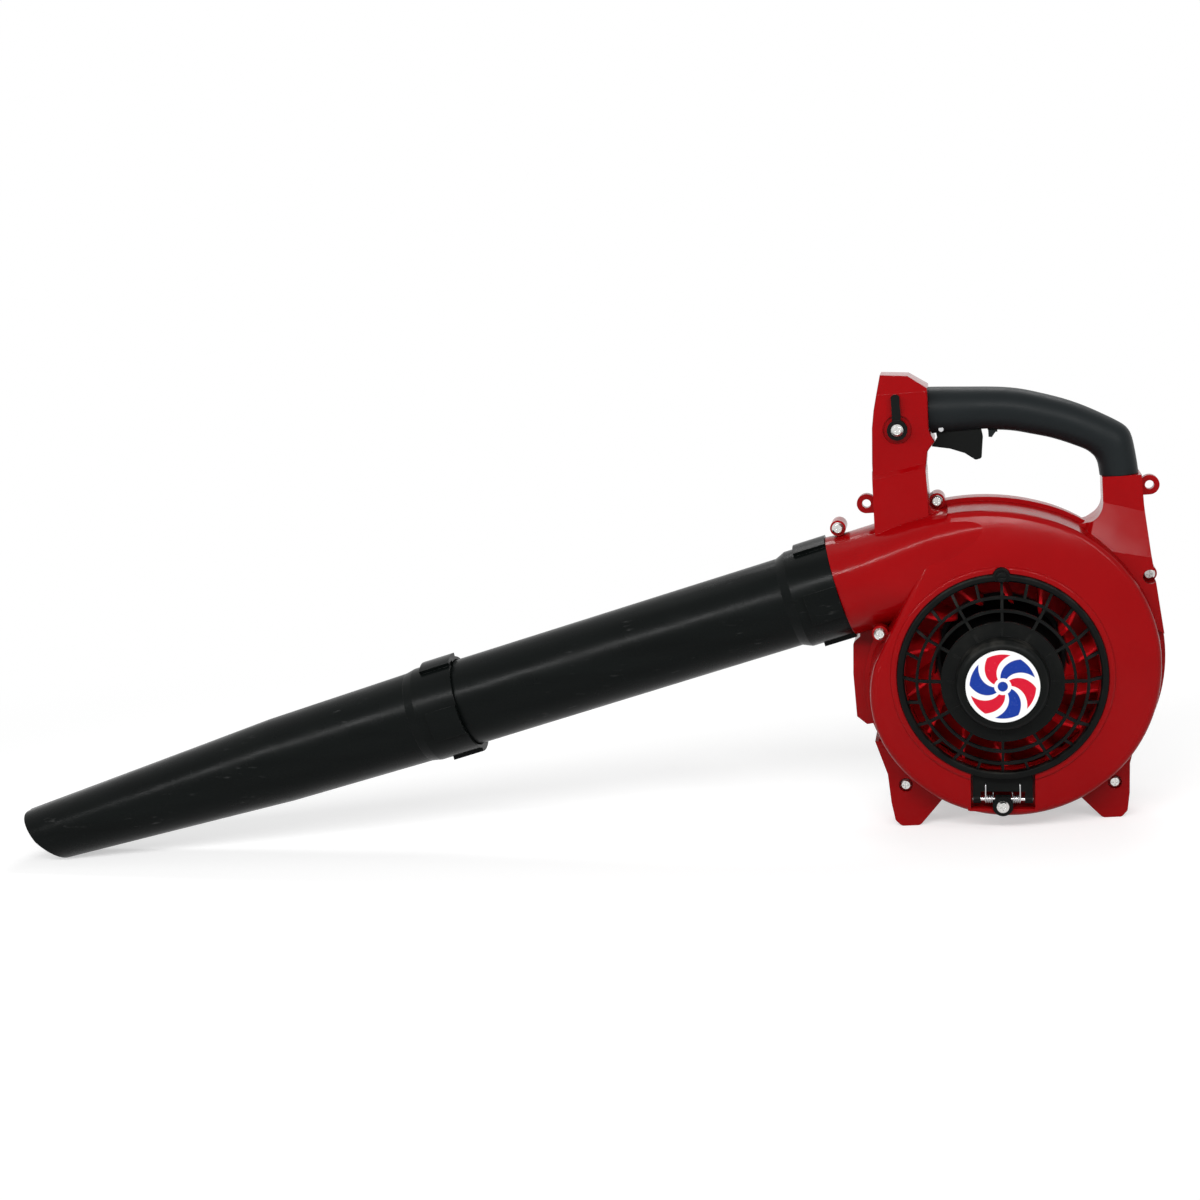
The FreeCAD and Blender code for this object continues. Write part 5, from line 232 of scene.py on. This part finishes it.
class Shader(NodeTree):
    """A material whose patterns lie in object coordinates."""

    def __init__(self, name):
        self.material = bpy.data.materials.new(name)
        self.material.use_nodes = True
        super().__init__(self.material.node_tree, "OutputMaterial")
        self.coords = self.node("TexCoord").outputs["Object"]

    def times(self, a, b):
        """Product of two numbers."""
        return self.math("MULTIPLY", a, b)

    def vector(self, operation, a, b=(0.0, 0.0, 0.0)):
        """Node that combines two vectors."""
        return self.node("VectorMath", {0: a, 1: b}, operation=operation)

    def parts(self, vector):
        """X, Y and Z of a vector."""
        return self.node("SeparateXYZ", {0: vector}).outputs[:3]

    def around_fan(self):
        """X and Z counted from the fan's axis, and the distance from it."""
        x, _, z = self.parts(self.vector("SUBTRACT", self.coords, tuple(FAN_AXIS)).outputs[0])
        return x, z, self.math("SQRT", self.math("ADD", self.times(x, x), self.times(z, z)))

    def stretched(self, factors, rotation=(0.0, 0.0, 0.0)):
        """Object coordinates turned and stretched."""
        inputs = {"Vector": self.coords, "Scale": factors, "Rotation": rotation}
        return self.node("Mapping", inputs, vector_type="POINT").outputs[0]

    def noise(self, scale, detail=3.0, coords=None, distortion=0.0):
        """Cloudy noise, its scale in 1/m."""
        inputs = {
            "Vector": coords or self.coords, "Scale": scale, "Detail": detail,
            "Roughness": NOISE_ROUGHNESS, "Distortion": distortion,
        }
        return self.node("TexNoise", inputs).outputs["Fac"]

    def smooth_step(self, value, low, high):
        """0 up to low, 1 from high on, and smooth between them."""
        inputs = {
            "Value": value, "From Min": low, "From Max": high, "To Min": 0.0, "To Max": 1.0,
        }
        return self.node("MapRange", inputs, interpolation_type="SMOOTHSTEP").outputs[0]

    def band(self, value, low, high, soft):
        """1 between low and high, with soft ends inside that range."""
        rise = self.smooth_step(value, low, low + soft)
        fall = self.smooth_step(value, high - soft, high)
        return self.times(rise, self.math("SUBTRACT", 1.0, fall))

    def patches(self, scale, detail, low, high, coords=None):
        """Soft patches where the noise is high."""
        return self.smooth_step(self.noise(scale, detail, coords=coords), low, high)

    def varied(self, noise, low, high):
        """Noise spread over a range."""
        return self.ranged(noise, *NOISE_SPAN, low, high)

    def mixed(self, factor, a, b):
        """Two colours mixed; each is a colour or another node's output."""
        ends = [end if isinstance(end, bpy.types.NodeSocket) else (*end, 1.0) for end in (a, b)]
        inputs = {MIX_FACTOR: factor, MIX_A: ends[0], MIX_B: ends[1]}
        return self.node("Mix", inputs, data_type="RGBA").outputs[MIX_RESULT]

    def mottled(self, colour, noise, dark, pale):
        """Colour that drifts between a darker and a paler tone of itself."""
        return self.mixed(self.varied(noise, 0.0, 1.0), scaled(colour, dark), scaled(colour, pale))

    def covered(self, tone, mask, amount, colour):
        """A colour laid over the tone where the mask is, by an amount up to 1."""
        return self.mixed(self.times(mask, amount), tone, colour)

    def bump(self, height, strength, distance, normal=None):
        """Normal with relief added to it."""
        inputs = {"Height": height, "Strength": strength, "Distance": distance}
        if normal is not None:
            inputs["Normal"] = normal
        return self.node("Bump", inputs).outputs[0]

    def seam(self, width, strength, distance, normal):
        """Normal with the line where two halves of the mould met, at Y = 0."""
        across = self.math("ABSOLUTE", self.parts(self.coords)[1])
        return self.bump(self.smooth_step(across, *width), strength, distance, normal)

    def edge_normal(self, radius):
        """Normal that turns smoothly around edges."""
        return self.node("Bevel", {"Radius": radius}, samples=BEVEL_SAMPLES).outputs[0]

    def rubbed_edges(self, rounded, scale, low, high):
        """Patches along edges, which are where the rounded normal leaves the true one."""
        true = self.node("NewGeometry").outputs["Normal"]
        dot = self.vector("DOT_PRODUCT", rounded, true).outputs["Value"]
        edge = self.smooth_step(self.math("SUBTRACT", 1.0, dot), *EDGE_TURN)
        return self.times(edge, self.patches(scale, 4.0, low, high))

    def surface(self, tone, rough, normal, settings):
        """Finish the material; the settings are inputs that are the same all over it."""
        inputs = {"Base Color": tone, "Roughness": rough, "Normal": normal, **settings}
        self.show(self.node("BsdfPrincipled", inputs))
        return self.material


def moulded(name, colour, roughness, grain=0.02, grain_scale=1400.0, waviness=0.0, seam=False,
            wear=0.35, specular=0.5, dust=0.0, edge=PLASTIC_EDGE, black_and_shaded_inside=0.0):
    """Injection-moulded plastic: faint flow of the colour, grain, rubbed edges and a little dust.

    The last argument is the distance from the fan's axis within which the piece is painted black, partly
    for the black fan cone and partly as painted shade deep in the fan's recess.
    """
    shader = Shader(name)
    rounded = shader.edge_normal(edge)
    flow = shader.noise(scale=9.0, detail=4.0, distortion=0.6)
    tone = shader.mottled(colour, flow, dark=0.9, pale=1.1)
    rubbed = shader.rubbed_edges(rounded, scale=160.0, low=0.45, high=0.7)
    worn = tuple(part * 0.72 + 0.05 for part in scaled(colour, 1.35))
    tone = shader.covered(tone, rubbed, wear, worn)
    if dust > 0:
        upward = shader.parts(shader.node("NewGeometry").outputs["Normal"])[2]
        clouds = shader.patches(scale=70.0, detail=5.0, low=0.4, high=0.75)
        laid = shader.times(shader.smooth_step(upward, low=-0.2, high=0.9), clouds)
        tone = shader.covered(tone, laid, dust, DUST_GREY)
    # Black towards the fan's axis: partly the black fan cone, partly painted shade in the recess behind
    # the grille
    if black_and_shaded_inside > 0:
        away = shader.around_fan()[2]
        outer = shader.smooth_step(away, low=black_and_shaded_inside - 0.002, high=black_and_shaded_inside + 0.001)
        tone = shader.mixed(outer, PART_BLACK, tone)
    smear = shader.noise(scale=22.0, detail=5.0, distortion=1.2)
    fine = shader.times(shader.noise(scale=300.0), 0.3)
    handled = shader.math("MULTIPLY_ADD", smear, 0.7, fine)
    rough = shader.ranged(handled, 0.35, 0.65, to_low=roughness - 0.05, to_high=roughness + 0.07)
    cells = shader.noise(grain_scale, detail=2.0)
    normal = shader.bump(cells, strength=grain * 10, distance=GRAIN_DEPTH, normal=rounded)
    if waviness > 0:
        waves = shader.noise(scale=14.0, detail=2.0)
        normal = shader.bump(waves, strength=waviness, distance=0.002, normal=normal)
    if seam:
        normal = shader.seam(HOUSING_SEAM, strength=0.8, distance=0.0004, normal=normal)
    return shader.surface(tone, rough, normal, {"Specular IOR Level": specular})


def metal(name, colour, roughness, grain, brushed=(1.0, 1.0, 1.0), grain_scale=700.0, tarnish=0.3):
    """Bare metal with a brushed, rolled or cast surface and a little tarnish."""
    shader = Shader(name)
    lines = shader.noise(grain_scale, coords=shader.stretched(brushed))
    spots = shader.patches(scale=90.0, detail=6.0, low=0.48, high=0.75)
    tone = shader.covered(colour, spots, tarnish, scaled(colour, 0.45))
    dull = shader.math("ADD", lines, shader.times(spots, 0.5))
    rough = shader.ranged(dull, 0.3, 1.1, to_low=roughness - 0.08, to_high=roughness + 0.16)
    rounded = shader.edge_normal(METAL_EDGE)
    normal = shader.bump(lines, strength=grain, distance=0.0002, normal=rounded)
    return shader.surface(tone, rough, normal, {"Metallic": 1.0})


def scuffed_tube(name):
    """Black blow-moulded tube with a mould seam, shallow dents of the wall and pale scuffs along it."""
    shader = Shader(name)
    rounded = shader.edge_normal(PLASTIC_EDGE)
    along = (0.0, TUBE_DROP, 0.0)
    leaning = shader.stretched((0.25, 1.0, 1.0), (0.0, TUBE_DROP - SCUFF_LEAN, 0.0))
    strokes = shader.patches(scale=260.0, detail=5.0, low=0.6, high=0.78, coords=leaning)
    zone = shader.patches(scale=16.0, detail=3.0, low=0.5, high=0.66)
    scuff = shader.times(strokes, zone)
    flow = shader.noise(scale=60.0, detail=4.0, coords=shader.stretched((0.05, 1.0, 1.0), along))
    tone = shader.mottled(TUBE_BLACK, flow, dark=0.8, pale=1.25)
    tone = shader.covered(tone, scuff, amount=0.35, colour=SCUFF_GREY)
    rubbed = shader.rubbed_edges(rounded, scale=120.0, low=0.42, high=0.65)
    tone = shader.covered(tone, rubbed, amount=0.5, colour=RUBBED_GREY)
    dull = shader.math("ADD", shader.noise(scale=25.0, detail=5.0), scuff)
    rough = shader.ranged(dull, 0.3, 0.9, to_low=0.22, to_high=0.38)
    cells = shader.noise(scale=900.0)
    normal = shader.bump(cells, strength=0.12, distance=GRAIN_DEPTH, normal=rounded)
    dents = shader.noise(scale=18.0, coords=shader.stretched((0.5, 1.0, 1.0), along))
    normal = shader.bump(dents, strength=0.35, distance=0.0022, normal=normal)
    normal = shader.seam(TUBE_SEAM, strength=-0.35, distance=0.0003, normal=normal)
    return shader.surface(tone, rough, normal, {"Specular IOR Level": 0.065})


def badge(name):
    """Generic round badge: a fan swirl on white, its blades red and blue in turn."""
    shader = Shader(name)
    x, z, away = shader.around_fan()
    share = shader.math("DIVIDE", away, BADGE_RADIUS)
    sweep = shader.times(shader.math("POWER", share, BLADE_CURVE), BLADE_SWEEP)
    swirl = shader.math("ADD", shader.math("ARCTAN2", z, x), sweep)
    turn = shader.math("DIVIDE", swirl, 2 * math.pi)
    within_blade = shader.math("FRACT", shader.times(turn, BLADES))
    within_pair = shader.math("FRACT", shader.times(turn, BLADES / 2))
    ink = shader.mixed(shader.math("GREATER_THAN", within_pair, 0.5), BADGE_RED, BADGE_BLUE)
    blade = shader.band(within_blade, low=0.14, high=0.86, soft=0.03)
    ring = shader.band(share, low=0.225, high=0.9, soft=0.015)
    tone = shader.mixed(shader.times(blade, ring), BADGE_WHITE, ink)
    tone = shader.mixed(shader.smooth_step(share, low=0.13, high=0.145), BADGE_BLUE, tone)
    grime = shader.patches(scale=400.0, detail=4.0, low=0.6, high=0.8)
    tone = shader.covered(tone, grime, amount=0.12, colour=GRIME_GREY)
    rough = shader.varied(shader.noise(scale=200.0, detail=4.0), low=0.18, high=0.3)
    cells = shader.noise(scale=500.0, detail=2.0)
    rounded = shader.edge_normal(BADGE_EDGE)
    normal = shader.bump(cells, strength=0.04, distance=GRAIN_DEPTH, normal=rounded)
    return shader.surface(tone, rough, normal, {"Specular IOR Level": 0.1})


def soft_body(name, colour, roughness, grain_scale, grain, sheen=0.0):
    """Rubber, foam or gasket sheet with small cells."""
    shader = Shader(name)
    inputs = {"Vector": shader.coords, "Scale": grain_scale}
    cells = shader.node("TexVoronoi", inputs).outputs["Distance"]
    flow = shader.noise(scale=40.0, detail=4.0)
    tone = shader.mottled(colour, flow, dark=0.75, pale=1.3)
    tone = shader.mixed(shader.smooth_step(cells, low=0.1, high=0.55), scaled(colour, 0.5), tone)
    smear = shader.noise(scale=80.0)
    rough = shader.varied(smear, low=roughness - 0.08, high=min(1.0, roughness + 0.08))
    normal = shader.bump(cells, strength=grain, distance=0.0004)
    return shader.surface(tone, rough, normal, {"Sheen Weight": sheen})


def milky(name, colour, roughness, transmission):
    """Pale translucent plastic of the tank and the primer bulb."""
    shader = Shader(name)
    tone = shader.mottled(colour, shader.noise(scale=12.0, detail=4.0), dark=0.88, pale=1.05)
    smear = shader.noise(scale=35.0, detail=4.0)
    rough = shader.varied(smear, low=roughness - 0.06, high=roughness + 0.08)
    cells = shader.noise(scale=900.0, detail=2.0)
    rounded = shader.edge_normal(TANK_EDGE)
    normal = shader.bump(cells, strength=0.1, distance=GRAIN_DEPTH, normal=rounded)
    return shader.surface(tone, rough, normal, {
        "Transmission Weight": transmission, "Subsurface Weight": 0.35,
        "Subsurface Radius": (0.006, 0.005, 0.004), "Subsurface Scale": 1.0,
    })


def braided(name, colour):
    """Braided rope that runs along X at the height and depth of the starter's eyelet."""
    shader = Shader(name)
    x, y, z = shader.parts(shader.coords)
    lift = shader.math("SUBTRACT", z, ROPE_HEIGHT)
    angle = shader.math("ARCTAN2", lift, shader.math("SUBTRACT", y, ROPE_DEPTH))
    turns = shader.times(angle, ROPE_STRANDS)
    run = shader.times(x, ROPE_LAY)
    one = shader.math("SINE", shader.math("ADD", turns, run))
    two = shader.math("SINE", shader.math("SUBTRACT", turns, run))
    strands = shader.ranged(shader.times(one, two), -1.0, 1.0, 0.0, 1.0)
    tone = shader.mixed(strands, scaled(colour, 0.5), colour)
    dust = shader.patches(scale=250.0, detail=4.0, low=0.5, high=0.8)
    tone = shader.covered(tone, dust, amount=0.4, colour=DUST_GREY)
    rough = shader.ranged(strands, 0.0, 1.0, to_low=0.9, to_high=0.7)
    normal = shader.bump(strands, strength=0.6, distance=0.0003)
    return shader.surface(tone, rough, normal, {"Sheen Weight": 0.2})


def floor_material():
    """White floor that keeps the object's shadow and turns into the white room further out."""
    shader = Shader("studio_floor")
    seen = shader.seen()
    diffuse = shader.node("BsdfDiffuse", {"Color": FLOOR_GREY}).outputs[0]
    lift = {"Color": WHITE, "Strength": shader.times(seen, FLOOR_LIFT)}
    near = {0: diffuse, 1: shader.node("Emission", lift).outputs[0]}
    white = shader.node("Emission", {"Color": WHITE, "Strength": 1.0}).outputs[0]
    offset = shader.vector("SUBTRACT", shader.coords, SHADOW_CENTRE).outputs[0]
    oval = shader.vector("MULTIPLY", offset, SHADOW_SCALE).outputs[0]
    distance = shader.vector("LENGTH", oval).outputs["Value"]
    far = shader.times(shader.smooth_step(distance, *SHADOW_FADE), seen)
    both = {0: far, 1: shader.node("AddShader", near).outputs[0], 2: white}
    shader.show(shader.node("MixShader", both))
    return shader.material


def studio():
    """Floor, white room and soft lamps."""
    half = FLOOR_HALF
    corners = [(-half, -half, 0), (half, -half, 0), (half, half, 0), (-half, half, 0)]
    mesh = bpy.data.meshes.new("studio_floor")
    mesh.from_pydata(corners, [], [(0, 1, 2, 3)])
    floor = bpy.data.objects.new("studio_floor", mesh)
    scene.collection.objects.link(floor)
    floor.data.materials.append(floor_material())
    world = bpy.data.worlds.new("white_room")
    scene.world = world
    world.use_nodes = True
    room = NodeTree(world.node_tree, "OutputWorld")
    strength = room.ranged(room.seen(), 0.0, 1.0, LIT_ROOM, 1.0)
    room.show(room.node("Background", {"Color": WHITE, "Strength": strength}))
    for settings in LAMPS:
        lamp(*settings)


def tube_object(name, path, radius, sides):
    """Round wire or rope through points, with closed ends."""
    verts = []
    faces = []
    normal = None
    for index, point in enumerate(path):
        ahead = path[min(index + 1, len(path) - 1)] - path[max(index - 1, 0)]
        along = ahead.normalized()
        if normal is None:
            normal = along.orthogonal().normalized()
        normal = (normal - along * normal.dot(along)).normalized()
        side = along.cross(normal)
        for corner in range(sides):
            turn = 2 * math.pi * corner / sides
            verts.append(point + normal * radius * math.cos(turn) + side * radius * math.sin(turn))
    for index in range(len(path) - 1):
        base = index * sides
        for corner in range(sides):
            after = (corner + 1) % sides
            faces.append((base + corner, base + after, base + sides + after, base + sides + corner))
    faces.append(tuple(reversed(range(sides))))
    faces.append(tuple(range((len(path) - 1) * sides, len(path) * sides)))
    mesh = bpy.data.meshes.new(name)
    mesh.from_pydata(verts, [], faces)
    for face in mesh.polygons:
        face.use_smooth = len(face.vertices) == 4
    thing = bpy.data.objects.new(name, mesh)
    scene.collection.objects.link(thing)
    return thing


def grille_spring(name, side):
    """Torsion spring on the hinge pin, with a foot and a leg, tilted with the grille's hinge."""
    to_axis = Matrix.Translation(FAN_AXIS)
    tilt = to_axis @ Matrix.Rotation(GRILLE_TILT, 4, "Y") @ Matrix.Translation(-FAN_AXIS)
    centre = Vector((side * SPRING_START, HINGE_DEPTH, HINGE_HEIGHT))
    path = []
    for step in range(SPRING_FOOT_STEPS):
        path.append(centre + Vector((0, SPRING_COIL, SPRING_FOOT * (1 - step / SPRING_FOOT_STEPS))))
    for step in range(round(SPRING_TURNS * SPRING_STEPS) + 1):
        turn = 2 * math.pi * step / SPRING_STEPS
        shift = side * SPRING_PITCH * step / SPRING_STEPS
        across, down = SPRING_COIL * math.cos(turn), SPRING_COIL * math.sin(turn)
        path.append(centre + Vector((shift, across, -down)))
    last = path[-1]
    for step in range(SPRING_LEG_STEPS):
        path.append(last + Vector((0, 0, SPRING_LEG * (step + 1) / SPRING_LEG_STEPS)))
    spring = tube_object(name, [tilt @ point for point in path], SPRING_WIRE, SPRING_SIDES)
    spring.data.materials.append(MATERIALS["spring_steel"])
    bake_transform(spring)
    return spring


def starter_rope():
    """Straight rope between the pulley and the handle, shown in place of the starter_rope piece."""
    path = []
    for step in range(ROPE_STEPS + 1):
        x = ROPE_START + (ROPE_END - ROPE_START) * step / ROPE_STEPS
        path.append(Vector((x, ROPE_DEPTH, ROPE_HEIGHT)))
    rope = tube_object("paid_out_rope", path, ROPE_RADIUS, ROPE_SIDES)
    rope.data.materials.append(MATERIALS["rope_white"])
    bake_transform(rope)
    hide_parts("starter_rope")


scene.view_settings.view_transform = "Standard"
place_camera()
studio()

# One material for each slot of the record
MATERIALS = {
    "housing_red": moulded(
        "glossy_red_plastic", RED, 0.15,
        grain=0.004, waviness=0.04, seam=True, wear=0.15, specular=0.085),
    "tube_black": scuffed_tube("black_tube_plastic"),
    "grip_charcoal": moulded(
        "grip_plastic", GRIP_BLACK, 0.42,
        grain=0.05, grain_scale=1100.0, seam=True, wear=0.4, specular=0.09),
    "part_black": moulded("black_plastic", PART_BLACK, 0.40, grain=0.03, wear=0.4, specular=0.07),
    "grille_black": moulded(
        "grille_plastic", PART_BLACK, 0.38, wear=0.5, dust=0.16, edge=0.0004, specular=0.06),
    "badge": badge("badge_print"),
    # Fan: its red is painted paler than the housing's as light for its shaded recess, and near the axis
    # it is painted black, partly for the fan cone and partly as painted shade
    "fan_red": moulded(
        "fan_plastic", FAN_RED_WITH_PAINTED_LIGHT, 0.34, dust=0.08, specular=0.1, black_and_shaded_inside=0.054),
    "zinc_steel": metal(
        "zinc_plated_steel", (0.66, 0.66, 0.64), 0.26, grain=0.05, tarnish=0.35),
    "bright_steel": metal(
        "ground_steel", (0.62, 0.62, 0.63), 0.22, grain=0.05, brushed=(1.0, 0.1, 1.0)),
    "spring_steel": metal("spring_steel", (0.56, 0.56, 0.57), 0.28, grain=0.05),
    "ring_iron": metal("ring_iron", (0.3, 0.3, 0.31), 0.35, grain=0.1),
    "cast_alloy": metal(
        "cast_alloy", (0.55, 0.55, 0.56), 0.48, grain=0.5, grain_scale=900.0, tarnish=0.4),
    "machined_alloy": metal(
        "machined_alloy", (0.66, 0.66, 0.67), 0.28, grain=0.1, brushed=(1.0, 1.0, 0.1)),
    "gasket_grey": soft_body(
        "gasket_sheet", (0.13, 0.12, 0.11), 0.8, grain_scale=900.0, grain=0.2),
    "rubber_black": soft_body(
        "black_rubber", (0.016, 0.016, 0.017), 0.55, grain_scale=1500.0, grain=0.1),
    "insulator_brown": moulded("insulator_resin", (0.12, 0.055, 0.03), 0.42, grain=0.06),
    "muffler_steel": metal(
        "heat_stained_steel", (0.33, 0.31, 0.29), 0.40, grain=0.2, tarnish=0.6),
    "tank_white": milky("tank_plastic", (0.74, 0.74, 0.70), 0.42, transmission=0.12),
    "bulb_clear": milky("bulb_plastic", (0.72, 0.73, 0.70), 0.15, transmission=0.55),
    "foam_grey": soft_body(
        "filter_foam", (0.05, 0.05, 0.055), 0.95, grain_scale=1100.0, grain=0.9, sheen=0.3),
    "rope_white": braided("braided_rope", (0.72, 0.72, 0.68)),
    "pulley_grey": moulded("pulley_plastic", (0.2, 0.2, 0.21), 0.45, grain=0.03),
}

for part in frame["record"]["subparts"]:
    solid = nodes[part["node"]]
    solid.data.materials.clear()
    solid.data.materials.append(MATERIALS[part["material_slot"]])

springs = [grille_spring("left_grille_spring", -1), grille_spring("right_grille_spring", 1)]
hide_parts("grille_springs")
starter_rope()
